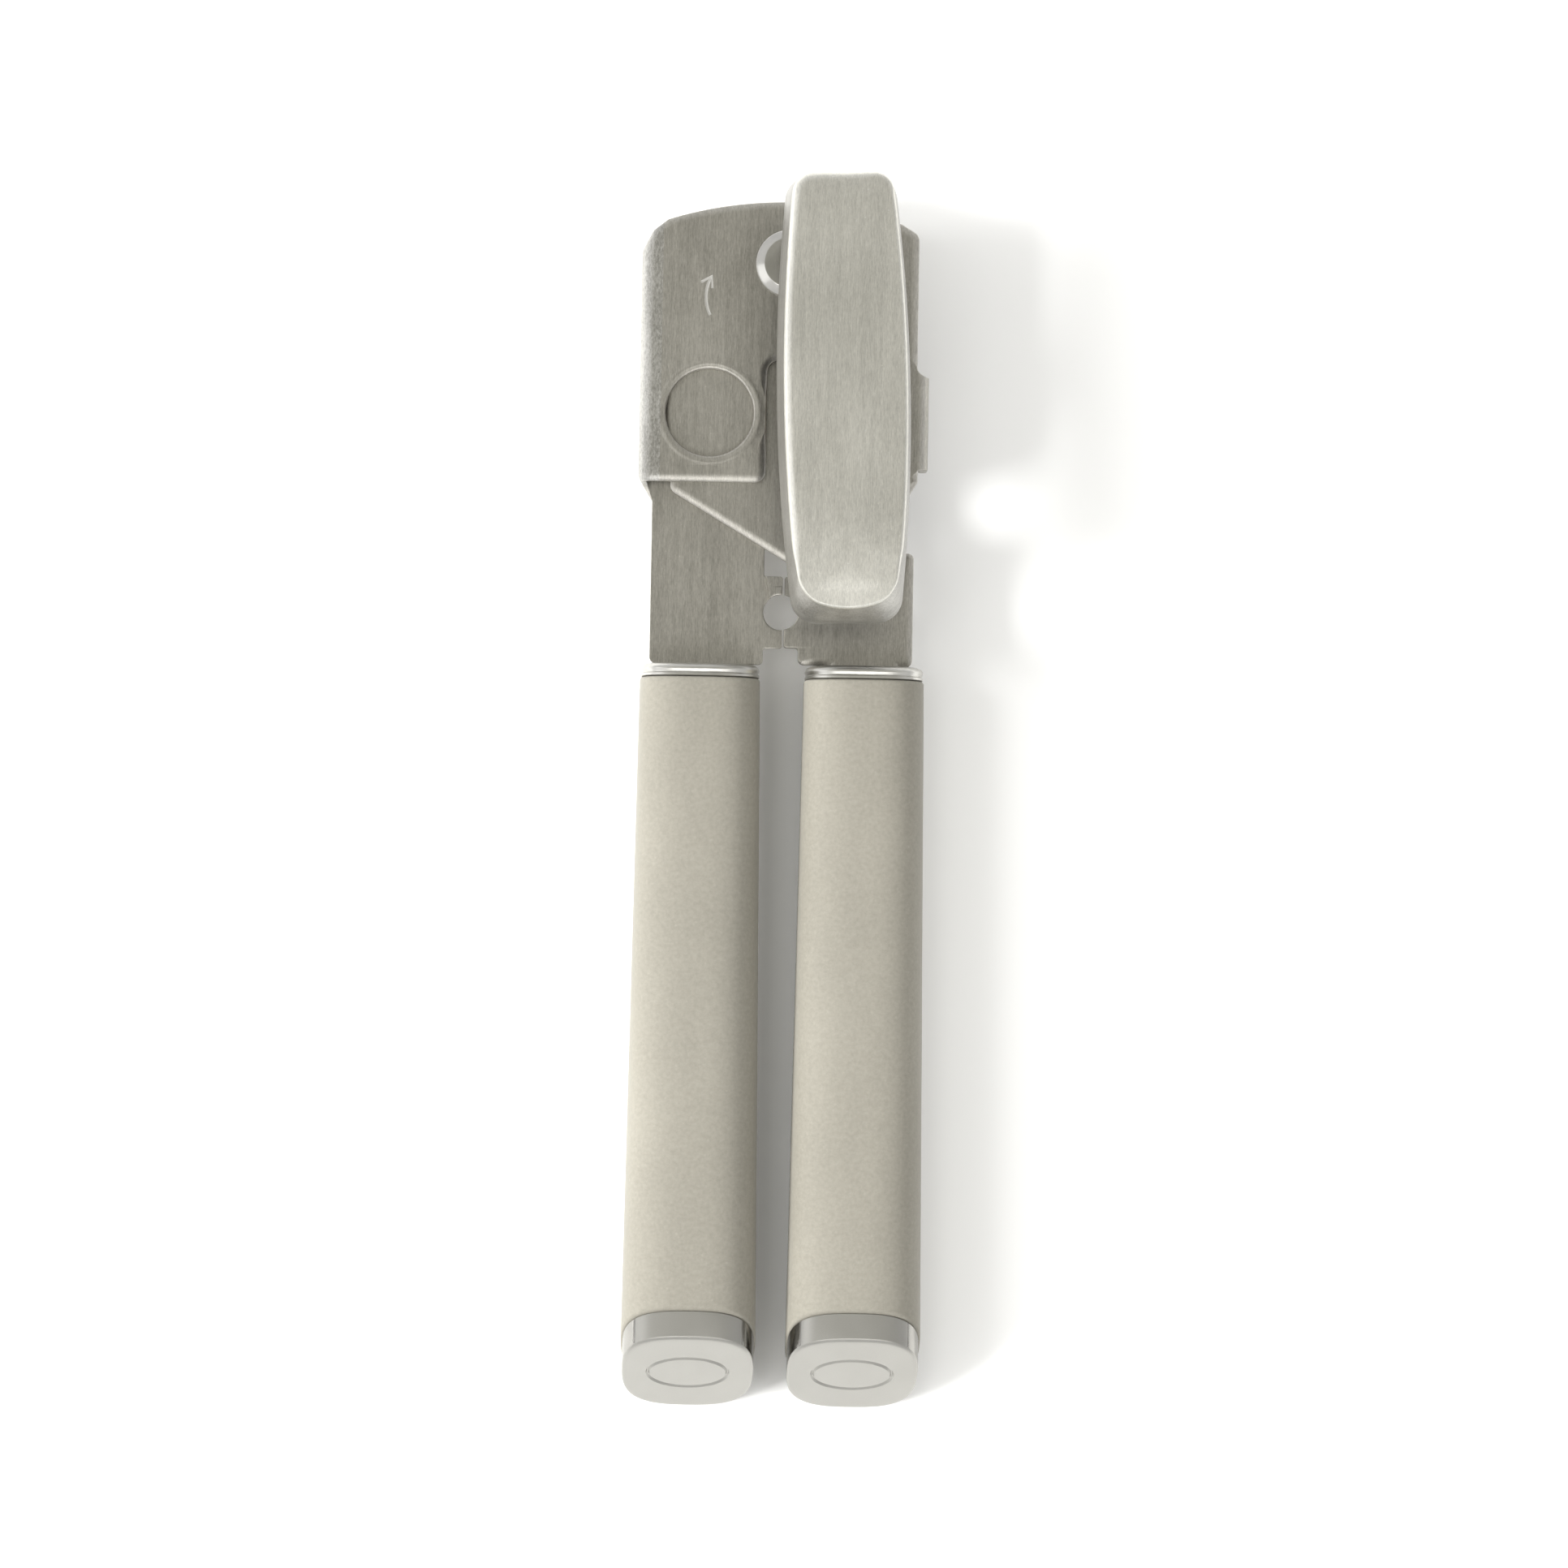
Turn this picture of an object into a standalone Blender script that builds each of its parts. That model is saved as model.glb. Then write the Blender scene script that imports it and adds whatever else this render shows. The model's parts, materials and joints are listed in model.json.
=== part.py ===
"""Manual can opener with two grips, a turning key, a feed wheel and a round cutter.

+Z is up, on the turning key's side, and the grips run towards -Y.
Dimensions are in millimetres, measured in plan from the pivot rivet's axis;
the builders turn them into metres.
"""
import math

import bmesh
import bpy
from mathutils import Vector

MM = 0.001
GAP = 0.3                        # clearance between neighbouring pieces
ARC_STEP = math.radians(24)      # largest turn between two points of a rounded corner
TURN_STEPS = 28                  # facets round a turned piece

# Heights of the three sheet layers, from the surface the opener lies on.
SHEET = 1.4
LEFT_LOW = 8.2
RIGHT_LOW = LEFT_LOW + SHEET + GAP
COVER_LOW = RIGHT_LOW + SHEET + GAP
COVER_HIGH = COVER_LOW + SHEET
THROUGH_Z = (5.0, 16.0)          # a cut through all three layers

# Plan positions of the three axes that matter.
SHAFT = (9.1, -24.1)
CUTTER = (-10.1, -24.1)
HANG_HOLE = (-0.4, -58.8)
HANG_HOLE_R = 3.0
PIVOT_R = 3.0
SHAFT_R = 2.6
BUSHING_R = 4.0
STUD_R = 3.2
STUD_NECK_R = 2.0

# Head of the left plate, folded back over the right plate.
FOLD_X = -22.5
FOLD_INNER_R = (SHEET + 2 * GAP) / 2
HEAD_ARC_R = 66.0
HEAD_ARC_Y = -55.5
HEAD_BOTTOM = -37.1
HEAD_RIGHT = 8.0
NOTCH = (-3.45, -16.3)
WINDOW = (-13.05, -25.4)
WINDOW_R = 7.4

# Handles: the plates end at a shoulder, and narrow tangs run on inside the grips.
HANDLE_X = 13.85
HANDLE_Z = 9.0
SHOULDER_Y = -67.7
TANG_HALF = 6.0
TANG_END = -160.0
TABS = ((-52.8, -55.8), (-61.8, -64.9))
TAB_GAP = 0.15
LUG_Y = (-18.4, -34.3)
LUG_X = 22.0
LUG_OUTER_R = 2.1
LUG_LOW = 5.4

# Grips: a rounded square section that swells towards a slanted end.
SECTION_POWER = 3.6
SECTION_POINTS = 32
FERRULE_Y = (-68.1, -69.9)
GRIP_START = -70.2
GRIP_END = -182.4
GRIP_SLANT = math.tan(math.radians(37.0))
BAND = 4.5
CAP_INSET = 0.3
CAP_BEVEL = ((0, 1.3), (0.25, 0.6), (1.1, 0.05))     # (inwards, short of the face)
BORE_HALF = (8.0, 6.2)
SPIGOT_HALF = (7.6, 5.8)
FERRULE_SPIGOT_END = -79.7
CAP_SPIGOT_END = -171.5
CORE_Y = (-80.0, -170.5)
PIN_Y = -120.0
PIN_R = 1.5

# Turning key.
SQUARE_HALF = 1.8
SQUARE_TOP = 32.0
KEY_LOW = 24.0
KEY_HIGH = 35.0
KEY_HALF = (11.15, 37.4)
KEY_WALL = 0.9
KEY_TURN = math.radians(1.7)     # the key rests turned a little off the handles' direction
KEY_BOW = 2.3                    # how far the long sides draw in towards the ends
KEY_SIDE_REACH = 0.82            # share of the half length that the bowed side takes

# Gears and wheels under the plates.
GEAR_MODULE = 1.2
DRIVE_TEETH = 14
CUTTER_TEETH = 18
GEAR_Z = (4.9, 7.2)
FEED_Z = (2.6, 4.6)
FEED_TEETH = 22
FEED_R = 7.6
CUTTER_R = 12.4
THRUST_Z = (7.5, 7.9)

STEEL = ((0.46, 0.45, 0.42), 1.0, 0.38)
BRIGHT = ((0.72, 0.71, 0.69), 1.0, 0.16)
DARK_STEEL = ((0.35, 0.35, 0.35), 1.0, 0.3)
BRASS = ((0.62, 0.47, 0.22), 1.0, 0.3)
SOFT_TOUCH = ((0.46, 0.43, 0.37), 0.0, 0.6)
CORE_PLASTIC = ((0.10, 0.10, 0.10), 0.0, 0.5)


def clear_scene():
    for item in list(bpy.data.objects):
        bpy.data.objects.remove(item, do_unlink=True)


def add_collection(name):
    collection = bpy.data.collections.new(name)
    bpy.context.scene.collection.children.link(collection)
    return collection


def add_axis(name, x, y):
    """An empty standing on a joint's axis; every piece hangs from one of these."""
    axis = bpy.data.objects.new(name, None)
    axis.location = (x * MM, (y + pivot_distance()) * MM, 0)
    PARTS.objects.link(axis)
    return axis


def pivot_distance():
    """Where the pivot stands along Y when the opener is centred on its own box."""
    key_tip = SHAFT[1] + max(y for x, y, z in key_ring(0, 0))
    cap_tip = min(y for ring in cap_face_rings(1) for x, y, z in ring)
    return -(key_tip + cap_tip) / 2


def set_material(piece, finish):
    colour, metallic, roughness = finish
    material = bpy.data.materials.new(piece.name)
    material.use_nodes = True
    shader = material.node_tree.nodes["Principled BSDF"]
    shader.inputs["Base Color"].default_value = (*colour, 1)
    shader.inputs["Metallic"].default_value = metallic
    shader.inputs["Roughness"].default_value = roughness
    piece.data.materials.append(material)


def place(piece, axis, finish):
    """File a finished piece under its axis and give it its material."""
    PARTS.objects.link(piece)
    piece.parent = axis
    set_material(piece, finish)
    piece.data.shade_smooth()
    piece.data.set_sharp_from_angle(angle=math.radians(35))
    return piece


def file_cutter(piece, axis):
    CUTTERS.objects.link(piece)
    piece.parent = axis
    piece.hide_render = True
    piece.display_type = "WIRE"
    return piece


def combine(piece, cutter, operation):
    modifier = piece.modifiers.new(cutter.name, "BOOLEAN")
    modifier.object = cutter
    modifier.operation = operation


def rounded(corners):
    """Points of a closed outline given as (x, y, corner radius), with arcs at its corners."""
    points = []
    for index, (x, y, radius) in enumerate(corners):
        if radius == 0:
            points.append((x, y))
            continue
        corner = Vector((x, y))
        before = (Vector(corners[index - 1][:2]) - corner).normalized()
        after = (Vector(corners[(index + 1) % len(corners)][:2]) - corner).normalized()
        half_angle = before.angle(after) / 2
        centre = corner + (before + after).normalized() * radius / math.sin(half_angle)
        start = corner + before * radius / math.tan(half_angle) - centre
        end = corner + after * radius / math.tan(half_angle) - centre
        first = math.atan2(start.y, start.x)
        turn = (math.atan2(end.y, end.x) - first + math.pi) % math.tau - math.pi
        steps = max(1, math.ceil(abs(turn) / ARC_STEP))
        for step in range(steps + 1):
            points.append(polar(centre, radius, first + turn * step / steps))
    return points


def polar(centre, radius, angle):
    return centre[0] + radius * math.cos(angle), centre[1] + radius * math.sin(angle)


def circle(centre, radius, count=TURN_STEPS):
    return [polar(centre, radius, math.tau * index / count) for index in range(count)]


def head_arc(x_from, x_to, drop=0.0, count=6):
    """Shallow arc of the head's far edge."""
    radius = HEAD_ARC_R - drop
    xs = [x_from + (x_to - x_from) * index / count for index in range(count + 1)]
    return [(x, HEAD_ARC_Y + math.sqrt(radius ** 2 - x ** 2), 0) for x in xs]


def curve_to_mesh(curve_object, name):
    depsgraph = bpy.context.evaluated_depsgraph_get()
    mesh = bpy.data.meshes.new_from_object(curve_object.evaluated_get(depsgraph))
    mesh.name = name
    work = bmesh.new()
    work.from_mesh(mesh)
    bmesh.ops.remove_doubles(work, verts=work.verts, dist=0.000001)
    work.to_mesh(mesh)
    work.free()
    piece = bpy.data.objects.new(name, mesh)
    piece.matrix_world = curve_object.matrix_world.copy()
    bpy.data.objects.remove(curve_object, do_unlink=True)
    return piece


def extruded(name, outlines, low, high, along="Z"):
    """Flat outlines (a border and its holes) made solid between two heights.

    Along Z the outline lies in plan. Along Y it is a section in X and Z.
    """
    curve = bpy.data.curves.new(name, "CURVE")
    curve.dimensions = "2D"
    curve.fill_mode = "BOTH"
    curve.extrude = (high - low) / 2 * MM
    for points in outlines:
        spline = curve.splines.new("POLY")
        spline.points.add(len(points) - 1)
        spline.use_cyclic_u = True
        for point, (x, y) in zip(spline.points, points):
            point.co = (x * MM, y * MM, 0, 1)
    flat = bpy.data.objects.new(name + "_outline", curve)
    middle = (low + high) / 2 * MM
    if along == "Z":
        flat.location = (0, 0, middle)
    else:
        flat.location = (0, middle, 0)
        flat.rotation_euler = (math.pi / 2, 0, 0)
    bpy.context.scene.collection.objects.link(flat)
    bpy.context.view_layer.update()
    return curve_to_mesh(flat, name)


def turned(name, profile, steps=TURN_STEPS):
    """Solid of revolution from (radius, height) points, listed down the outer side.

    A profile that starts and ends on the axis is solid; any other closes into a ring.
    """
    count = len(profile)
    edges = [(index, index + 1) for index in range(count - 1)]
    if profile[0][0] > 0:
        edges.append((count - 1, 0))
    mesh = bpy.data.meshes.new(name)
    mesh.from_pydata([(r * MM, 0, z * MM) for r, z in profile], edges, [])
    piece = bpy.data.objects.new(name, mesh)
    screw = piece.modifiers.new("Turn", "SCREW")
    screw.steps = steps
    screw.render_steps = steps
    screw.use_merge_vertices = True
    screw.merge_threshold = 0.00001
    return piece


def lofted(name, rings, ends="capped"):
    """Skin a row of rings with equal point counts.

    Its ends are capped, joined to make a tube, or left as a cup that is open at its first ring.
    """
    work = bmesh.new()
    rows = [[work.verts.new([value * MM for value in point]) for point in ring] for ring in rings]
    pairs = list(zip(rows, rows[1:]))
    if ends == "tube":
        pairs.append((rows[-1], rows[0]))
    else:
        work.faces.new(rows[-1])
    if ends == "capped":
        work.faces.new(rows[0])
    for row, following in pairs:
        for index in range(len(row)):
            other = (index + 1) % len(row)
            work.faces.new((row[index], row[other], following[other], following[index]))
    bmesh.ops.recalc_face_normals(work, faces=work.faces)
    mesh = bpy.data.meshes.new(name)
    work.to_mesh(mesh)
    work.free()
    return bpy.data.objects.new(name, mesh)


def box(name, low, high):
    size = [b - a for a, b in zip(low, high)]
    work = bmesh.new()
    bmesh.ops.create_cube(work, size=1)
    for vertex in work.verts:
        vertex.co = [(a + (c + 0.5) * s) * MM for a, c, s in zip(low, vertex.co, size)]
    mesh = bpy.data.meshes.new(name)
    work.to_mesh(mesh)
    work.free()
    return bpy.data.objects.new(name, mesh)


def drill(piece, axis, name, centre, radius, heights=THROUGH_Z):
    """Cut a round hole through a piece between two heights."""
    cutter = extruded(name, [circle(centre, radius)], *heights)
    combine(piece, file_cutter(cutter, axis), "DIFFERENCE")


def tang_outline(side, inner_edge, outer_edge, top):
    """Handle end of a plate: rounded shoulders, then the narrow tang."""
    middle = side * HANDLE_X
    return [
        (outer_edge, top, 0),
        (outer_edge, SHOULDER_Y, 1.8),
        (middle + side * TANG_HALF, SHOULDER_Y, 0),
        (middle + side * TANG_HALF, TANG_END, 3.0),
        (middle - side * TANG_HALF, TANG_END, 3.0),
        (middle - side * TANG_HALF, SHOULDER_Y, 0),
        (inner_edge, SHOULDER_Y, 1.8),
        (inner_edge, top, 0),
    ]


def fold_section():
    """Section of the folded sheet: lower leg, half-round bend and upper leg."""
    middle = (LEFT_LOW + COVER_HIGH) / 2
    outer = FOLD_INNER_R + SHEET
    turns = [math.pi * (1.5 - index / 8) for index in range(9)]
    section = [(HEAD_RIGHT + 2, LEFT_LOW)]
    section += [polar((FOLD_X, middle), outer, angle) for angle in turns]
    section += [(HEAD_RIGHT + 2, COVER_HIGH), (HEAD_RIGHT + 2, COVER_LOW)]
    section += [polar((FOLD_X, middle), FOLD_INNER_R, angle) for angle in reversed(turns)]
    section += [(HEAD_RIGHT + 2, LEFT_LOW + SHEET)]
    return section


def head_outline():
    corners = [
        (FOLD_X - 4, HEAD_BOTTOM, 0),
        (NOTCH[0], HEAD_BOTTOM, 1.5),
        (NOTCH[0], NOTCH[1], 2.8),
        (HEAD_RIGHT, NOTCH[1], 3.0),
        (HEAD_RIGHT, 6.6, 0),
        (HEAD_RIGHT - 1.0, 9.0, 0),
    ]
    corners += head_arc(HEAD_RIGHT - 3.0, -21.2)
    corners += [(-22.1, 6.6, 0), (FOLD_X - 4, -0.8, 0)]
    return rounded(corners)


def joggled_tab_section():
    """Stop tab that steps up from the left plate to the right plate's level."""
    lower = [(-6.0, LEFT_LOW), (-3.0, LEFT_LOW), (-1.4, RIGHT_LOW), (-TAB_GAP, RIGHT_LOW)]
    upper = [(-TAB_GAP, RIGHT_LOW), (-2.0, RIGHT_LOW), (-3.6, LEFT_LOW), (-6.0, LEFT_LOW)]
    return lower + [(x, z + SHEET) for x, z in upper]


def build_left_plate(axis):
    """One sheet: handle tang, lower head layer, fold, and the cover over the right plate."""
    plate = extruded("left_handle_plate", [fold_section()], HEAD_BOTTOM - 1, 14.0, along="Y")
    head = extruded("left_head_outline", [head_outline()], *THROUGH_Z)
    combine(plate, file_cutter(head, axis), "INTERSECT")
    tang = rounded(tang_outline(-1, -3.3, FOLD_X, HEAD_BOTTOM + 8))
    handle = extruded("left_tang", [tang], LEFT_LOW, LEFT_LOW + SHEET)
    combine(plate, file_cutter(handle, axis), "UNION")
    tabs = extruded("left_tabs", [joggled_tab_section()], TABS[1][1], TABS[0][0], along="Y")
    combine(plate, file_cutter(tabs, axis), "UNION")
    between_layers = (LEFT_LOW + SHEET + COVER_LOW) / 2
    drill(plate, axis, "left_hang_cut", HANG_HOLE, HANG_HOLE_R)
    drill(plate, axis, "left_pivot_cut", (0, 0), PIVOT_R + GAP)
    drill(plate, axis, "window_cut", WINDOW, WINDOW_R, (between_layers, THROUGH_Z[1]))
    drill(plate, axis, "stud_cut", CUTTER, STUD_NECK_R + GAP, (THROUGH_Z[0], between_layers))
    drill(plate, axis, "left_pin_cut", (-HANDLE_X, PIN_Y), PIN_R + GAP)
    return place(plate, axis, STEEL)


def right_plate_outline():
    corners = [(-19.5, -38.5, 1.2), (2.55, -51.6, 0.8)]
    for top, bottom in TABS:
        corners += [(2.55, top, 0), (TAB_GAP, top, 0.4), (TAB_GAP, bottom, 0.2), (2.55, bottom, 0)]
    corners += reversed(tang_outline(1, 2.55, 21.9, -48.6)[1:-1])
    corners += [
        (21.9, -48.6, 1.4),
        (12.8, -47.4, 3.2),
        (12.8, -40.0, 3.2),
        (21.2, -38.6, 0.8),
        (22.6, -36.0, 0.8),
        (22.0, LUG_Y[1] - 0.4, 0),
        (LUG_X, 5.6, 1.8),
    ]
    corners += head_arc(19.0, -8.0, drop=0.3)
    corners += [(-14.5, 5.5, 4.0), (-19.5, -5.0, 6.0)]
    return rounded(corners)


def lug_section():
    """Guide lug: the sheet's edge bent down through a quarter turn."""
    centre = (LUG_X, RIGHT_LOW + SHEET - LUG_OUTER_R)
    turns = [math.pi / 2 * index / 4 for index in range(5)]
    section = [(LUG_X - 2.5, RIGHT_LOW), (LUG_X - 2.5, RIGHT_LOW + SHEET)]
    section += [polar(centre, LUG_OUTER_R, angle) for angle in reversed(turns)]
    section += [(LUG_X + LUG_OUTER_R, LUG_LOW), (LUG_X + LUG_OUTER_R - SHEET, LUG_LOW)]
    section += [polar(centre, LUG_OUTER_R - SHEET, angle) for angle in turns]
    return section


def build_right_plate(axis):
    """Middle sheet: it carries the key's shaft, the guide lug and the bottle notch."""
    plate = extruded("right_handle_plate", [right_plate_outline()], RIGHT_LOW, RIGHT_LOW + SHEET)
    lug = extruded("guide_lug", [lug_section()], LUG_Y[1], LUG_Y[0], along="Y")
    combine(plate, file_cutter(lug, axis), "UNION")
    drill(plate, axis, "right_hang_cut", HANG_HOLE, HANG_HOLE_R)
    drill(plate, axis, "right_pivot_cut", (0, 0), PIVOT_R + GAP)
    drill(plate, axis, "bushing_cut", SHAFT, BUSHING_R + GAP)
    drill(plate, axis, "right_pin_cut", (HANDLE_X, PIN_Y), PIN_R + GAP)
    return place(plate, axis, STEEL)


def build_pivot(axis):
    head = COVER_HIGH + GAP
    tail = 6.7
    rivet = turned("pivot_rivet", [
        (0, head + 1.5), (4.6, head + 1.5), (5.8, head + 0.7), (5.8, head), (PIVOT_R, head),
        (PIVOT_R, tail), (4.5, tail), (4.2, tail - 0.8), (3.0, tail - 1.3), (0, tail - 1.3)])
    place(rivet, axis, BRIGHT)
    washer = turned("pivot_washer", ring_profile(PIVOT_R + GAP, 5.6, tail + GAP, LEFT_LOW - GAP))
    place(washer, axis, BRIGHT)


def ring_profile(inner, outer, low, high):
    return [(outer, high), (outer, low), (inner, low), (inner, high)]


def build_bushing(axis):
    """Flanged bearing pressed through the right plate; the key's shaft turns in it."""
    flange_low = COVER_LOW
    flare_high = RIGHT_LOW - GAP
    bushing = turned("shaft_bushing", [
        (6.0, flange_low + 0.8), (6.0, flange_low), (BUSHING_R, flange_low), (BUSHING_R, flare_high),
        (5.2, flare_high), (5.2, flare_high - 1.0), (SHAFT_R + GAP, flare_high - 1.0),
        (SHAFT_R + GAP, flange_low + 1.2), (5.6, flange_low + 1.2)])
    place(bushing, axis, BRASS)


def gear_outline(teeth, phase):
    """Straight-flanked teeth, thinned a little so that the pair runs with backlash."""
    pitch_radius = GEAR_MODULE * teeth / 2
    tip = pitch_radius + 0.85 * GEAR_MODULE
    root = pitch_radius - 1.2 * GEAR_MODULE
    step = math.tau / teeth
    points = []
    for tooth in range(teeth):
        middle = phase + tooth * step
        for radius, width in ((root, -0.29), (tip, -0.10), (tip, 0.10), (root, 0.29)):
            points.append(polar((0, 0), radius, middle + width * step))
    return points


def build_drive_gear(axis):
    outline = gear_outline(DRIVE_TEETH, math.pi)
    gear = extruded("drive_gear", [outline, circle((0, 0), SHAFT_R + GAP)], *GEAR_Z)
    place(gear, axis, DARK_STEEL)


def build_cutter_gear(axis):
    outline = gear_outline(CUTTER_TEETH, math.pi / CUTTER_TEETH)
    gear = extruded("cutter_gear", [outline, circle((0, 0), STUD_R + GAP)], *GEAR_Z)
    place(gear, axis, DARK_STEEL)


def build_feed_wheel(axis):
    """Serrated wheel that grips the can's rim from below."""
    outline = []
    for tooth in range(FEED_TEETH):
        angle = math.tau * tooth / FEED_TEETH
        outline.append(polar((0, 0), FEED_R, angle - 0.02))
        outline.append(polar((0, 0), FEED_R, angle + 0.05))
        outline.append(polar((0, 0), FEED_R - 0.9, angle + math.pi / FEED_TEETH))
    wheel = extruded("feed_wheel", [outline, circle((0, 0), SHAFT_R + GAP)], *FEED_Z)
    place(wheel, axis, DARK_STEEL)


def build_drive_shaft(axis):
    """Round shaft with a squared top that drives the key's core, and a thin end for its nut."""
    shaft = turned("drive_shaft", [
        (0, KEY_LOW + 0.1), (SHAFT_R, KEY_LOW + 0.1), (SHAFT_R, FEED_Z[0]),
        (2.0, FEED_Z[0]), (2.0, 0.3), (1.7, 0), (0, 0)])
    half = SQUARE_HALF
    square = box("shaft_square", (-half, -half, KEY_LOW - 1), (half, half, SQUARE_TOP))
    combine(shaft, file_cutter(square, axis), "UNION")
    place(shaft, axis, DARK_STEEL)
    washer = turned("shaft_washer", ring_profile(SHAFT_R + GAP, 5.0, *THRUST_Z))
    place(washer, axis, BRIGHT)
    nut_outline = [circle((0, 0), 3.9, 6), circle((0, 0), 2.0 + GAP)]
    nut = extruded("shaft_nut", nut_outline, 0.5, FEED_Z[0] - GAP)
    place(nut, axis, BRIGHT)


def build_cutter(stud_axis, axis):
    """Cutter wheel on its gear, turning on a stud that is riveted into the left plate."""
    stud = turned("cutter_stud", [
        (0, LEFT_LOW + SHEET), (STUD_NECK_R, LEFT_LOW + SHEET), (STUD_NECK_R, LEFT_LOW - GAP),
        (STUD_R, LEFT_LOW - GAP), (STUD_R, 1.4), (1.5, 1.4), (1.5, 5.8), (0, 5.8)])
    place(stud, stud_axis, DARK_STEEL)
    screw = turned("cutter_screw", [
        (0, 5.4), (1.2, 5.4), (1.2, 1.0), (4.6, 1.0), (4.6, 0.4), (4.1, 0), (0, 0)])
    slot = box("screw_slot", (-6, -0.5, -1), (6, 0.5, 0.5))
    combine(screw, file_cutter(slot, stud_axis), "DIFFERENCE")
    place(screw, stud_axis, BRIGHT)
    washer = turned("cutter_washer", ring_profile(STUD_R + GAP, 5.4, *THRUST_Z))
    place(washer, axis, BRIGHT)
    wheel = turned("cutter_wheel", [
        (6.6, GEAR_Z[0] - GAP), (CUTTER_R, 1.75), (CUTTER_R, 1.6), (10.6, 1.3),
        (STUD_R + GAP, 1.3), (STUD_R + GAP, GEAR_Z[0] - GAP)], steps=40)
    place(wheel, axis, BRIGHT)


def key_ring(inset, height):
    """The key's outline in plan, moved inwards: bowed long sides, rounded corners."""
    wide = KEY_HALF[0] - inset
    long = KEY_HALF[1] - inset
    radius = max(4.4 - inset, 1.5)
    heights = [long * KEY_SIDE_REACH * step / 4 for step in range(-4, 5)]
    side = [(wide - KEY_BOW * (y / KEY_HALF[1]) ** 2, y, 0) for y in heights]
    corner = (wide - KEY_BOW * 0.95, long - 0.2, radius)
    right = [(corner[0], -corner[1], radius)] + side + [corner]
    left = [(-x, -y, r) for x, y, r in right]
    outline = rounded(right + [(0, long, 0)] + left + [(0, -long, 0)])
    cosine, sine = math.cos(KEY_TURN), math.sin(KEY_TURN)
    return [(x * cosine - y * sine, x * sine + y * cosine, height) for x, y in outline]


def build_key(axis):
    """Drawn steel shell over a moulded core that takes the shaft's square."""
    shell = lofted("key_shell", [
        key_ring(0, KEY_LOW), key_ring(1.0, KEY_HIGH - 2.0), key_ring(1.6, KEY_HIGH - 0.7),
        key_ring(2.7, KEY_HIGH)], ends="cup")
    wall = shell.modifiers.new("Wall", "SOLIDIFY")
    wall.thickness = KEY_WALL * MM
    wall.offset = -1
    wall.use_even_offset = True
    place(shell, axis, STEEL)
    loose = KEY_WALL + GAP
    core = lofted("key_core", [
        key_ring(loose, KEY_LOW + 0.4), key_ring(1.2 + loose, KEY_HIGH - 2.0 - loose),
        key_ring(3.1 + loose, KEY_HIGH - 0.2 - loose)])
    half = SQUARE_HALF + GAP
    socket = box("key_socket", (-half, -half, KEY_LOW - 1), (half, half, SQUARE_TOP + GAP))
    combine(core, file_cutter(socket, axis), "DIFFERENCE")
    place(core, axis, CORE_PLASTIC)
    collar = turned("key_collar", ring_profile(SHAFT_R + GAP, 4.6, COVER_LOW + 1.5, KEY_LOW + 0.1))
    place(collar, axis, BRIGHT)


def section_ring(side, half, y, slant=0.0):
    """Rounded-square ring round a handle's axis, its plane leaning with the slant."""
    ring = []
    for index in range(SECTION_POINTS):
        angle = math.tau * (index + 0.5) / SECTION_POINTS
        across = half[0] * signed_power(math.cos(angle))
        rise = half[1] * signed_power(math.sin(angle))
        ring.append((side * HANDLE_X + across, y + rise * slant, HANDLE_Z + rise))
    return ring


def signed_power(value):
    return math.copysign(abs(value) ** (2 / SECTION_POWER), value)


def grip_half(y):
    """Half width and half height of the grip at a distance down the handle."""
    share = (GRIP_START - y) / (GRIP_START - GRIP_END)
    return 10.15 + 1.2 * share, 8.4 + 0.6 * share


def inset(half, amount):
    return half[0] - amount, half[1] - amount


def build_ferrule(side, name, plate_low, axis):
    """Polished collar where the plate enters the grip, slotted for the tang."""
    top, bottom = FERRULE_Y
    half = inset(grip_half(GRIP_START), 0.2)
    ferrule = lofted(name, [
        section_ring(side, inset(half, 1.6), top), section_ring(side, inset(half, 0.5), top - 0.35),
        section_ring(side, half, top - 1.1), section_ring(side, half, bottom),
        section_ring(side, SPIGOT_HALF, bottom), section_ring(side, SPIGOT_HALF, FERRULE_SPIGOT_END)])
    cut_tang_slot(ferrule, side, name, plate_low, SHOULDER_Y + 1, FERRULE_SPIGOT_END - 1, axis)
    place(ferrule, axis, BRIGHT)


def cut_tang_slot(piece, side, name, plate_low, y_high, y_low, axis):
    reach = TANG_HALF + GAP
    slot = box(name + "_slot", (side * HANDLE_X - reach, y_low, plate_low - GAP),
               (side * HANDLE_X + reach, y_high, plate_low + SHEET + GAP))
    combine(piece, file_cutter(slot, axis), "DIFFERENCE")


def build_core(side, name, plate_low, axis):
    """Moulded core that locks the tang inside the grip with a cross pin."""
    core = lofted(name, [section_ring(side, SPIGOT_HALF, y) for y in CORE_Y])
    cut_tang_slot(core, side, name, plate_low, CORE_Y[0] + 1, TANG_END - 0.6, axis)
    drill(core, axis, name + "_pin_cut", (side * HANDLE_X, PIN_Y), PIN_R + GAP, (0, 20))
    place(core, axis, CORE_PLASTIC)


def build_pin(side, name, axis):
    high = HANDLE_Z + SPIGOT_HALF[1] - 0.1
    low = HANDLE_Z - SPIGOT_HALF[1] + 0.1
    pin = extruded(name, [circle((side * HANDLE_X, PIN_Y), PIN_R, 20)], low, high)
    place(pin, axis, DARK_STEEL)


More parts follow.
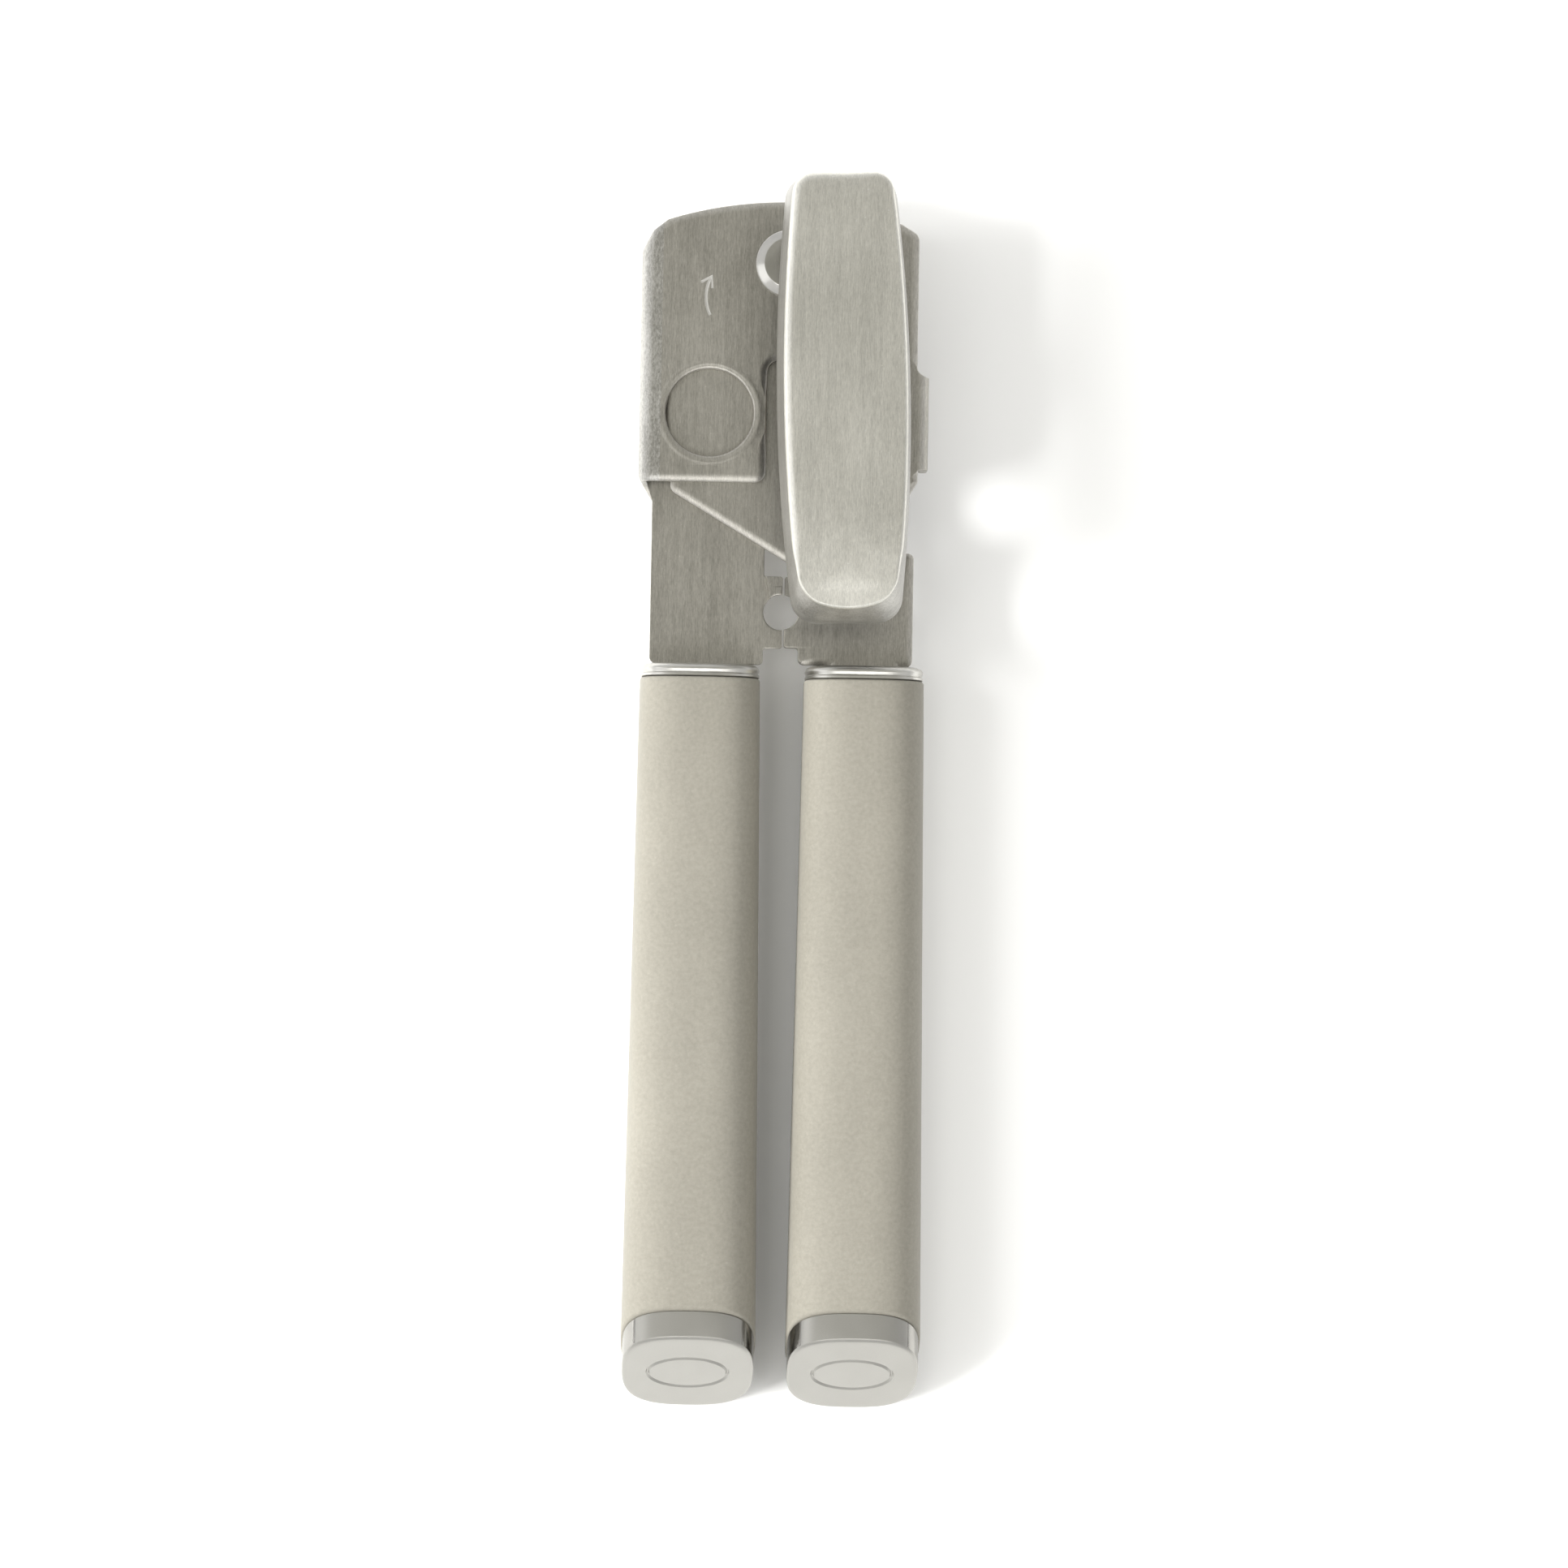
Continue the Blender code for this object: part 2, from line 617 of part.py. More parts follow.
def build_grip(side, name, axis):
    """Soft-touch sleeve: square to the axis at the ferrule, slanted at the end cap."""
    first = inset(grip_half(GRIP_START), 0.3)
    end_half = grip_half(GRIP_END)
    outside = [section_ring(side, first, GRIP_START)]
    outside += [section_ring(side, grip_half(y), y) for y in (GRIP_START - 0.5, -105.0, -140.0)]
    outside += [section_ring(side, end_half, GRIP_END + 0.5, GRIP_SLANT)]
    outside += [section_ring(side, inset(end_half, 0.3), GRIP_END, GRIP_SLANT)]
    bore = [section_ring(side, BORE_HALF, GRIP_END, GRIP_SLANT), section_ring(side, BORE_HALF, GRIP_START)]
    place(lofted(name, outside + bore, ends="tube"), axis, SOFT_TOUCH)


def cap_face_rings(side):
    """Band and bevelled face of an end cap."""
    face = GRIP_END - GAP - BAND
    half = inset(grip_half(GRIP_END), CAP_INSET)
    rings = []
    for inwards, short in CAP_BEVEL:
        rings.append(section_ring(side, inset(half, inwards), face + short, GRIP_SLANT))
    return rings


def build_end_cap(side, name, axis):
    """Metal cap with a slanted face and a spigot that plugs the grip."""
    root = GRIP_END - GAP
    rings = [
        section_ring(side, SPIGOT_HALF, CAP_SPIGOT_END), section_ring(side, SPIGOT_HALF, root, GRIP_SLANT),
        section_ring(side, inset(grip_half(GRIP_END), CAP_INSET), root, GRIP_SLANT)]
    place(lofted(name, rings + cap_face_rings(side)), axis, BRIGHT)


def build_handle(side, prefix, plate_low, axis):
    build_ferrule(side, prefix + "_ferrule", plate_low, axis)
    build_core(side, prefix + "_core", plate_low, axis)
    build_pin(side, prefix + "_tang_pin", axis)
    build_grip(side, prefix + "_grip", axis)
    build_end_cap(side, prefix + "_end_cap", axis)


clear_scene()
PARTS = add_collection("can_opener")
CUTTERS = add_collection("cutters")

left_axis = add_axis("left_handle_origin", 0, 0)
right_axis = add_axis("handle_pivot_axis", 0, 0)
shaft_axis = add_axis("key_axis", *SHAFT)
stud_axis = add_axis("cutter_stud_axis", *CUTTER)
cutter_axis = add_axis("cutter_axis", *CUTTER)
bearing_axis = add_axis("bearing_axis", *SHAFT)

build_left_plate(left_axis)
build_pivot(left_axis)
build_handle(-1, "left", LEFT_LOW, left_axis)
build_right_plate(right_axis)
build_bushing(bearing_axis)
build_handle(1, "right", RIGHT_LOW, right_axis)
build_drive_shaft(shaft_axis)
build_drive_gear(shaft_axis)
build_feed_wheel(shaft_axis)
build_key(shaft_axis)
build_cutter(stud_axis, cutter_axis)
build_cutter_gear(cutter_axis)
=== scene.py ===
"""Looks of the manual can opener: fine meshes, materials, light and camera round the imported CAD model.

Lengths are in millimetres in the CAD model's frame. Plan positions on the head are measured from
the pivot rivet's axis. linked() turns every shown mesh into metres.
"""
import json
import math

import bmesh
import bpy
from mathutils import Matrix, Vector
from mathutils.geometry import tessellate_polygon


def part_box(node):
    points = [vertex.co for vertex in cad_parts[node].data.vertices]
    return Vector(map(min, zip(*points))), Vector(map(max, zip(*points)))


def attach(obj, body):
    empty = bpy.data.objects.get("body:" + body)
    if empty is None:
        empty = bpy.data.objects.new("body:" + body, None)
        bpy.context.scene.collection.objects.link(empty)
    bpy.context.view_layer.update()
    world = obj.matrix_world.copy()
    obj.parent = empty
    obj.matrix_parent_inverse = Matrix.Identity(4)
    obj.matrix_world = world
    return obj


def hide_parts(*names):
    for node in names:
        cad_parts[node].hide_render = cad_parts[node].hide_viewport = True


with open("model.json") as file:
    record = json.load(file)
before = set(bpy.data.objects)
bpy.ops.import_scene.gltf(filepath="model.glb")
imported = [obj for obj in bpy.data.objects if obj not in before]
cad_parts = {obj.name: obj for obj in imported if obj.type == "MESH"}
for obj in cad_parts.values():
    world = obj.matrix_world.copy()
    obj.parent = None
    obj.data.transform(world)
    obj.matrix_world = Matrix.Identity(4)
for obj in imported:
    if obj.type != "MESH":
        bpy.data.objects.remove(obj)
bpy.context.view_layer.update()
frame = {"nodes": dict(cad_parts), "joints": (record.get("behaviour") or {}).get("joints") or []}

MM = 0.001
SHARP = 38.0                   # degrees between faces above which an edge stays sharp
AXES = {joint["name"]: Vector(joint["pos_m"]) / MM for joint in frame["joints"]}
PIVOT = AXES["handle_pivot"]
KEY_AXIS = AXES["key_spin"]
CUTTER_AXIS = AXES["cutter_spin"]


def corner(node, which):
    """Lowest (0) or highest (1) corner of a CAD node, in millimetres."""
    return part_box(node)[which] / MM


# Sheet metal: three layers, counted from the surface the opener lies on.
SHEET = 1.4
LEFT_MID = corner("left_handle_plate", 0).z + SHEET / 2
COVER_MID = corner("left_handle_plate", 1).z - SHEET / 2
RIGHT_MID = (LEFT_MID + COVER_MID) / 2
ROLL = (1.4, 0.4)              # width and depth of the edge rounding left by the press
HOLE_ROLL = (0.5, 0.22)
EDGE_BREAK = 0.16
LEAST_SHARE = 0.12             # of the rounding, kept at the sharpest corners
ENGRAVING = 0.09
FOLD_X = -22.5
FOLD_R = (COVER_MID - LEFT_MID) / 2
FOLD_LENGTH = math.pi * FOLD_R
FOLD_EASE = 4.0                # width over which the cover sags towards its fold
FOLD_SAG = 0.14
LUG_X = 22.0
LUG_R = 1.4
LUG_LENGTH = math.pi / 2 * LUG_R

# Plan of the head.
HEAD_BOTTOM = -37.1
HEAD_RIGHT = 8.0
HEAD_ARC_R = 66.0
HEAD_ARC_Y = -55.5
NOTCH = (-3.45, -16.3)
WINDOW = (-13.05, -25.4)
WINDOW_R = 7.4
HANG_HOLE = (-0.4, -58.8)
HANG_HOLE_R = 2.95
TAB_GAP = 0.15
PIVOT_BORE = 3.3
SHAFT_BORE = 2.9
CUTTER_BORE = 3.5
ARROW_CENTRE = (-6.8, -5.8)
ARROW_R = 7.2
TABS = ((-52.8, -55.8), (-61.8, -64.9))
SHOULDER_Y = -67.7
TANG_HALF = 6.0
TANG_END = -160.0
LUG_Y = (-18.4, -34.3)
HANDLE_X = 13.85
HANDLE_Z = 9.0

# Grips: a rounded square section that swells towards a slanted end.
SECTION_POWER = 2.9
SECTION_POINTS = 120
GRIP_START = -70.2
GRIP_END = -182.4
SLANT_ANGLE = math.radians(37.0)
GRIP_SLANT = math.tan(SLANT_ANGLE)
BAND = 4.5
CAP_INSET = 0.3
FACE_NORMAL = Vector((0, math.cos(SLANT_ANGLE), -math.sin(SLANT_ANGLE)))

# Turning key.
KEY_LOW = 24.0
KEY_HIGH = corner("key_shell", 1).z
KEY_HALF = (11.15, 37.4)
KEY_TURN = math.radians(1.7)
KEY_BOW = 2.3
KEY_SIDE_REACH = 0.82
KEY_WALL_REACH = 0.9           # offset up to which a ring belongs to the key's wall
KEY_MIDDLE = 8.0
KEY_END_POINTS = 7


# ---- outlines

def polar(centre, radius, angle):
    return centre[0] + radius * math.cos(angle), centre[1] + radius * math.sin(angle)


def arc(centre, radius, first, last, count):
    """Points on an arc between two angles in degrees."""
    angles = [math.radians(first + (last - first) * step / count) for step in range(count + 1)]
    return [polar(centre, radius, angle) for angle in angles]


def circle(centre, radius, count):
    return arc(centre, radius, 0, 360, count)[:-1]


def hole(centre, radius, count):
    """Circle that runs clockwise, as the outline of a hole does."""
    return arc(centre, radius, 0, -360, count)[:-1]


def rounded(corners, steps=8):
    """Points of a closed outline given as (x, y, corner radius); radius 0 keeps the point."""
    points = []
    for index, (x, y, radius) in enumerate(corners):
        if radius == 0:
            points.append((x, y))
            continue
        here = Vector((x, y))
        before = (Vector(corners[index - 1][:2]) - here).normalized()
        after = (Vector(corners[(index + 1) % len(corners)][:2]) - here).normalized()
        half_angle = before.angle(after) / 2
        centre = here + (before + after).normalized() * radius / math.sin(half_angle)
        start = here + before * radius / math.tan(half_angle) - centre
        end = here + after * radius / math.tan(half_angle) - centre
        first = math.atan2(start.y, start.x)
        turn = (math.atan2(end.y, end.x) - first + math.pi) % math.tau - math.pi
        for step in range(steps + 1):
            points.append(polar(centre, radius, first + turn * step / steps))
    return points


def subdivided(points, longest=1.5):
    """The same closed outline with no stretch longer than a given length."""
    result = []
    for index, start in enumerate(points):
        end = points[(index + 1) % len(points)]
        count = max(1, math.ceil(math.dist(start, end) / longest))
        for step in range(count):
            share = step / count
            result.append((start[0] + (end[0] - start[0]) * share, start[1] + (end[1] - start[1]) * share))
    return result


def outward_normals(points):
    """Mitred unit offsets to the right of the way round: away from the material."""
    normals = []
    for index, point in enumerate(points):
        here = Vector(point)
        into = (here - Vector(points[index - 1])).normalized()
        out = (Vector(points[(index + 1) % len(points)]) - here).normalized()
        right_in = Vector((into.y, -into.x))
        right_out = Vector((out.y, -out.x))
        middle = (right_in + right_out).normalized()
        normals.append(middle / max(middle.dot(right_in), 0.4))
    return normals


def rounding_shares(points, reach):
    """Share of the edge rounding that each point takes, so that tight corners stay whole."""
    count = len(points)
    lengths = [math.dist(points[index], points[(index + 1) % count]) for index in range(count)]
    shares = []
    for index in range(count):
        into = Vector(points[index]) - Vector(points[index - 1])
        out = Vector(points[(index + 1) % count]) - Vector(points[index])
        turn = math.atan2(into.x * out.y - into.y * out.x, into.dot(out))
        radius = (lengths[index - 1] + lengths[index]) / 2 / max(turn, 0.0001)
        shares.append(min(1.0, 0.85 * radius / reach))
    spread = 2.2
    for order in (range(2 * count), range(2 * count, 0, -1)):
        for index in order:
            here = index % count
            after = (here + order.step) % count
            gap = lengths[here if order.step > 0 else after]
            shares[after] = min(shares[after], shares[here] + gap / spread)
    return [max(share, LEAST_SHARE) for share in shares]


# ---- meshes

def add_rings(work, rings):
    """Skin rows of points into a strip of faces and return the rows of vertices."""
    rows = [[work.verts.new(point) for point in ring] for ring in rings]
    for row, following in zip(rows, rows[1:]):
        join_rows(work, row, following)
    return rows


def join_rows(work, first, second):
    """Strip of faces between two rows of vertices."""
    for index in range(len(first)):
        other = (index + 1) % len(first)
        work.faces.new((first[index], first[other], second[other], second[index]))


def loft(rings):
    """Skin over rings of points, closed at both ends."""
    work = bmesh.new()
    rows = add_rings(work, rings)
    work.faces.new(rows[0])
    work.faces.new(rows[-1])
    bmesh.ops.recalc_face_normals(work, faces=work.faces)
    return work


def lathe(profile, centre, steps=96):
    """Turned piece about a vertical axis, from (radius, height) points down its outer side.

    A profile that starts on the axis is closed there at both ends; any other is a ring.
    """
    rings = []
    for radius, height in profile:
        if radius > 0:
            rings.append([(x, y, height) for x, y in circle(centre, radius, steps)])
    work = bmesh.new()
    rows = add_rings(work, rings)
    if profile[0][0] > 0:
        join_rows(work, rows[-1], rows[0])
    else:
        for row, height in ((rows[0], profile[0][1]), (rows[-1], profile[-1][1])):
            tip = work.verts.new((*centre, height))
            for index in range(steps):
                work.faces.new((row[index], row[(index + 1) % steps], tip))
    bmesh.ops.recalc_face_normals(work, faces=work.faces)
    return work


def rolled_profile(roll, thickness):
    """(offset inwards, height) from the lower edge up the side and over the rounded upper edge."""
    top = thickness / 2
    profile = [(EDGE_BREAK, -top), (EDGE_BREAK * 0.3, -top + EDGE_BREAK * 0.3), (0, -top + EDGE_BREAK)]
    turns = 8
    for step in range(turns + 1):
        share = step / turns
        profile.append((roll[0] * share, top - roll[1] * (1 - share) ** 2))
    profile[3] = (0, profile[3][1] - 0.06)
    profile.insert(4, (0.04, top - roll[1] - 0.01))
    return profile


def sheet(border, holes=(), roll=ROLL, thickness=SHEET, beads=(), pockets=(), hole_roll=None, limit=None):
    """Flat sheet about height 0 with rounded upper edges. Border runs anticlockwise.

    Each hole is a clockwise outline. beads holds, for each hole, (offset, height) points of a
    raised rim that follow its rounding. Pockets are clockwise outlines engraved in the upper side.
    limit gives the largest share of the rounding that an outline point may take.
    """
    work = bmesh.new()
    tops = []
    bottoms = []
    for index, points in enumerate([border, *holes]):
        points = subdivided(points)
        normals = outward_normals(points)
        width, depth = hole_roll if index and hole_roll else roll
        shares = rounding_shares(points, width)
        if limit:
            shares = [min(share, limit(x, y)) for (x, y), share in zip(points, shares)]
        profile = rolled_profile((width, depth), thickness)
        if index and index <= len(beads):
            profile += [(width + inwards, thickness / 2 + height) for inwards, height in beads[index - 1]]
        rings = []
        for inwards, height in profile:
            ring = []
            for (x, y), normal, share in zip(points, normals, shares):
                ring.append((x - normal.x * inwards * share, y - normal.y * inwards * share, height))
            rings.append(ring)
        rows = add_rings(work, rings)
        bottoms.append(rows[0])
        tops.append(rows[-1])
    for points in pockets:
        points = subdivided(points, 0.3)
        rim = [(x, y, thickness / 2) for x, y in points]
        floor = []
        for (x, y), normal in zip(points, outward_normals(points)):
            floor.append((x + normal.x * 0.15, y + normal.y * 0.15, rim[0][2] - ENGRAVING))
        rows = add_rings(work, [rim, floor])
        tops.append(rows[0])
        for triangle in tessellate_polygon([[vertex.co for vertex in rows[1]]]):
            work.faces.new([rows[1][index] for index in triangle])
    for loops in (bottoms, tops):
        flat = [vertex for loop in loops for vertex in loop]
        for triangle in tessellate_polygon([[vertex.co for vertex in loop] for loop in loops]):
            work.faces.new([flat[index] for index in triangle])
    bmesh.ops.recalc_face_normals(work, faces=work.faces)
    return work


def slice_across(work, positions, axis):
    """Cut every face along planes, so that the mesh can bend there."""
    normal = Vector((1, 0, 0) if axis == "X" else (0, 1, 0))
    for position in positions:
        everything = [*work.verts, *work.edges, *work.faces]
        bmesh.ops.bisect_plane(work, geom=everything, plane_co=normal * position, plane_no=normal, dist=0.00001)


def reshape(work, move):
    """Move every vertex by a function of its place."""
    for vertex in work.verts:
        vertex.co = move(*vertex.co)


def lift(work, axis, low, high):
    """Move a sheet drawn about the origin to a vertical axis, midway between two heights."""
    reshape(work, lambda x, y, z: Vector((x + axis.x, y + axis.y, z + (low + high) / 2)))


def smooth_step(value, low, high):
    share = min(1.0, max(0.0, (value - low) / (high - low)))
    return share * share * (3 - 2 * share)


def shade(piece, sharp):
    """Smooth shading with sharp edges above an angle in degrees, and even flat faces."""
    piece.data.shade_smooth()
    piece.data.set_sharp_from_angle(angle=math.radians(sharp))
    flats = piece.modifiers.new("Even flats", "WEIGHTED_NORMAL")
    flats.keep_sharp = True
    flats.weight = 80


def linked(name, work):
    """Object in the scene from a mesh in millimetres, which it uses up."""
    for vertex in work.verts:
        vertex.co *= MM
    mesh = bpy.data.meshes.new(name)
    work.to_mesh(mesh)
    work.free()
    made = bpy.data.objects.new(name, mesh)
    bpy.context.scene.collection.objects.link(made)
    return made


def add_piece(name, work, body, material, node, sharp=SHARP):
    """Shown piece that rides on a body and stands for a CAD node."""
    piece = linked(name, work)
    piece.data.materials.append(material)
    shade(piece, sharp)
    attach(piece, body)
    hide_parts(node)
    return piece


def carve(piece, work):
    """Cut a closed mesh, in millimetres, out of a piece for good."""
    depsgraph = bpy.context.evaluated_depsgraph_get()
    cutter = linked(piece.name + "_cutter", work)
    cut = piece.modifiers.new(cutter.name, "BOOLEAN")
    cut.object = cutter
    cut.operation = "DIFFERENCE"
    piece.modifiers.move(len(piece.modifiers) - 1, 0)
    bpy.context.view_layer.update()
    result = bpy.data.meshes.new_from_object(piece.evaluated_get(depsgraph))
    piece.modifiers.clear()
    piece.data = result
    bpy.data.objects.remove(cutter, do_unlink=True)
    shade(piece, SHARP)


# ---- materials

def fill_ramp(node, stops):
    """Give a colour ramp its (position, colour) stops."""
    elements = node.color_ramp.elements
    while len(elements) < len(stops):
        elements.new(0.5)
    for element, (position, colour) in zip(elements, stops):
        element.position = position
        element.color = (*colour, 1)


class Tree:
    """Short names for building a node tree."""

    def __init__(self, owner):
        owner.use_nodes = True
        self.tree = owner.node_tree

    def add(self, kind, inputs=None, **settings):
        node = self.tree.nodes.new(kind)
        for key, value in settings.items():
            setattr(node, key, value)
        for key, value in (inputs or {}).items():
            node.inputs[key].default_value = value
        return node

    def link(self, source, target):
        self.tree.links.new(source, target)


class Nodes(Tree):
    """Node tree of a new material with one principled shader."""

    def __init__(self, name, metallic=0.0):
        self.material = bpy.data.materials.new(name)
        super().__init__(self.material)
        self.shader = self.tree.nodes["Principled BSDF"]
        self.place = self.add("ShaderNodeTexCoord").outputs["Object"]
        self.set("Metallic", metallic)

    def set(self, socket, value):
        """Constant value of one of the shader's sockets."""
        self.shader.inputs[socket].default_value = value

    def noise(self, scale, detail=2.0, roughness=0.5, turn=0.0):
        """Noise whose grain per metre can differ by axis."""
        mapping = self.add("ShaderNodeMapping", {"Scale": scale, "Rotation": (0, 0, turn)})
        self.link(self.place, mapping.inputs["Vector"])
        node = self.add("ShaderNodeTexNoise", {"Scale": 1.0, "Detail": detail, "Roughness": roughness})
        self.link(mapping.outputs["Vector"], node.inputs["Vector"])
        return node.outputs["Fac"]

    def ranged(self, value, low, high, from_low=0.3, from_high=0.7):
        ends = {"From Min": from_low, "From Max": from_high, "To Min": low, "To Max": high}
        node = self.add("ShaderNodeMapRange", ends)
        self.link(value, node.inputs["Value"])
        return node.outputs["Result"]

    def colour(self, value, dark, light, low=0.3, high=0.7):
        """Base colour between two tones, as a value goes from low to high."""
        node = self.add("ShaderNodeMix", {"A": (*dark, 1), "B": (*light, 1)}, data_type="RGBA")
        self.link(self.ranged(value, 0, 1, low, high), node.inputs["Factor"])
        self.link(node.outputs["Result"], self.shader.inputs["Base Color"])

    def ramp(self, value, *stops):
        """Base colour along a value, from (position, colour) stops."""
        node = self.add("ShaderNodeValToRGB")
        fill_ramp(node, stops)
        self.link(value, node.inputs["Fac"])
        self.link(node.outputs["Color"], self.shader.inputs["Base Color"])

    def rough(self, value, low, high):
        self.link(self.ranged(value, low, high), self.shader.inputs["Roughness"])

    def sum(self, *weighted):
        """Weighted sum of values, given as (value, weight)."""
        total = None
        for value, weight in weighted:
            node = self.add("ShaderNodeMath", {1: weight, 2: 0.0}, operation="MULTIPLY_ADD")
            self.link(value, node.inputs[0])
            if total is not None:
                self.link(total, node.inputs[2])
            total = node.outputs[0]
        return total

    def bump(self, height, distance):
        node = self.add("ShaderNodeBump", {"Distance": distance, "Strength": 1.0})
        self.link(height, node.inputs["Height"])
        self.link(node.outputs["Normal"], self.shader.inputs["Normal"])


def brushed_steel(name, light, dark, roughness, grain=1.0, turn=0.0):
    """Satin sheet, brushed along the opener: short fine scratches, rubbed patches, stray pale specks."""
    nodes = Nodes(name, metallic=1.0)
    fine = nodes.noise((6500, 520, 6500), 3.0, 0.7, turn)
    broad = nodes.noise((1100, 60, 1100), 2.0, 0.5, turn)
    pits = nodes.noise((3800, 1500, 3800), 2.0, 0.7, turn)
    patches = nodes.noise((60, 35, 60), 2.0)
    tone = nodes.sum((fine, 0.42), (broad, 0.16), (pits, 0.2), (patches, 0.22))
    specks = nodes.ranged(nodes.noise((6000, 2200, 6000), 1.0, 0.5, turn), 0, 1, 0.7, 0.76)
    value = nodes.sum((nodes.ranged(tone, 0, 0.8, 0.4, 0.6), 1.0), (specks, 0.2 * grain))
    pale = tuple(min(0.97, part * 1.4) for part in light)
    nodes.ramp(value, (0, dark), (0.8, light), (1, pale))
    worn = nodes.sum((fine, 0.5), (patches, 0.5))
    nodes.rough(worn, roughness - 0.05, roughness + 0.06)
    nodes.bump(nodes.sum((fine, 0.6), (broad, 0.15), (pits, 0.6)), 0.000014 * grain)
    return nodes.material


def sandy_steel(name, light, dark, roughness):
    """Sheet stretched round its bend: coarse, sparkling grain drawn out along the fold."""
    nodes = Nodes(name, metallic=1.0)
    grain = nodes.noise((3400, 1500, 3400), 3.0, 0.75)
    patches = nodes.noise((420, 60, 420), 2.0)
    tone = nodes.sum((grain, 0.7), (patches, 0.3))
    nodes.colour(tone, dark, light, 0.38, 0.6)
    nodes.rough(grain, roughness - 0.08, roughness + 0.08)
    nodes.bump(grain, 0.00005)
    return nodes.material


def polished_steel(name, colour, roughness, grain=1.0):
    """Bright rolled metal with tiny dents and a faint haze."""
    nodes = Nodes(name, metallic=1.0)
    haze = nodes.noise((300, 300, 300), 3.0)
    dents = nodes.noise((1400, 1400, 1400), 2.0, 0.6)
    darker = tuple(value * 0.86 for value in colour)
    nodes.colour(haze, darker, colour)
    nodes.rough(haze, roughness - 0.03, roughness + 0.06)
    nodes.bump(dents, 0.00001 * grain)
    return nodes.material


def blasted_steel(name, colour, roughness):
    """Satin cap face with a fine bead-blasted grain."""
    nodes = Nodes(name, metallic=1.0)
    grain = nodes.noise((5200, 5200, 5200), 2.0, 0.6)
    patches = nodes.noise((120, 120, 120), 2.0)
    darker = tuple(value * 0.93 for value in colour)
    tone = nodes.sum((grain, 0.5), (patches, 0.5))
    nodes.colour(tone, darker, colour)
    nodes.rough(patches, roughness - 0.04, roughness + 0.04)
    nodes.bump(grain, 0.00001)
    return nodes.material


def soft_touch(name, light, dark):
    """Greige soft-touch coating: matt, with a fine mottled grain and sparse pale specks."""
    nodes = Nodes(name)
    mottle = nodes.noise((1500, 1500, 1500), 3.0, 0.65)
    cloud = nodes.noise((55, 30, 55), 2.0)
    speck = nodes.add("ShaderNodeTexVoronoi", {"Scale": 420.0})
    nodes.link(nodes.place, speck.inputs["Vector"])
    dots = nodes.ranged(speck.outputs["Distance"], 1, 0, 0.05, 0.12)
    tone = nodes.sum((mottle, 0.55), (cloud, 0.35), (dots, 0.12))
    nodes.colour(tone, dark, light, 0.3, 0.62)
    nodes.rough(mottle, 0.52, 0.66)
    nodes.bump(nodes.sum((mottle, 0.7), (dots, 0.3)), 0.00002)
    nodes.set("Specular IOR Level", 0.35)
    nodes.set("Sheen Weight", 0.15)
    nodes.set("Sheen Roughness", 0.4)
    return nodes.material


def machined_steel(name, light, dark, roughness):
    """Hardened steel of the gears and wheels, with turning marks and oil-dark patches."""
    nodes = Nodes(name, metallic=1.0)
    marks = nodes.noise((3000, 3000, 400), 2.0, 0.6)
    patches = nodes.noise((200, 200, 200), 3.0)
    tone = nodes.sum((marks, 0.4), (patches, 0.6))
    nodes.colour(tone, dark, light)
    nodes.rough(patches, roughness - 0.06, roughness + 0.1)
    nodes.bump(marks, 0.000012)
    return nodes.material


def moulded_plastic(name, light, dark):
    nodes = Nodes(name)
    grain = nodes.noise((900, 900, 900), 2.0)
    nodes.colour(grain, dark, light)
    nodes.rough(grain, 0.42, 0.58)
    nodes.bump(grain, 0.00003)
    return nodes.material


SATIN = brushed_steel("satin_sheet", (0.63, 0.61, 0.56), (0.4, 0.385, 0.35), 0.4)
FOLD_STEEL = sandy_steel("sandy_fold", (0.66, 0.65, 0.62), (0.4, 0.39, 0.365), 0.4)
# Pale matt steel on the arrow's pocket floors: a stamped mark, lightened as a painted highlight on its lines.
STAMPED_HIGHLIGHT = blasted_steel("stamped_line_painted_highlight", (0.82, 0.81, 0.78), 0.6)
KEY_SATIN = brushed_steel("satin_key", (0.87, 0.855, 0.795), (0.64, 0.63, 0.585), 0.44, 1.9, -KEY_TURN)
# The key's wall: the same steel as its top with a sandy grain, made darker as painted shade.
KEY_WALL_SHADED = sandy_steel("sandy_key_wall_painted_shade", (0.58, 0.57, 0.54), (0.4, 0.39, 0.365), 0.42)
POLISHED = polished_steel("satin_ferrule", (0.7, 0.69, 0.655), 0.33, 2.0)
BRIGHT = polished_steel("bright_turned", (0.6, 0.59, 0.56), 0.2)
BAND_STEEL = polished_steel("polished_cap_band", (0.42, 0.41, 0.385), 0.18, 1.2)
CAP_FACE = blasted_steel("satin_cap_face", (0.45, 0.442, 0.415), 0.42)
HARD = machined_steel("hardened_steel", (0.46, 0.45, 0.44), (0.3, 0.3, 0.3), 0.3)
BRASS = machined_steel("bearing_brass", (0.74, 0.56, 0.28), (0.58, 0.42, 0.18), 0.28)
GRIP = soft_touch("soft_touch", (0.296, 0.28, 0.237), (0.226, 0.214, 0.18))
PLASTIC = moulded_plastic("core_plastic", (0.06, 0.06, 0.06), (0.03, 0.03, 0.03))


# ---- sheet metal

def head_arc(x_from, x_to, drop=0.0):
    """Shallow arc of the head's far edge."""
    radius = HEAD_ARC_R - drop
    xs = [x_from + (x_to - x_from) * step / 24 for step in range(25)]
    return [(x, HEAD_ARC_Y + math.sqrt(radius ** 2 - x ** 2), 0) for x in xs]


def under(x):
    """Place across the unfolded left sheet of a point on its lower layer, and back again."""
    return 2 * FOLD_X - FOLD_LENGTH - x


def hang_hole_side(first, last):
    """Half of the hanging hole's rim, between two angles in degrees."""
    return [(x, y, 0) for x, y in arc(HANG_HOLE, HANG_HOLE_R, first, last, 24)]


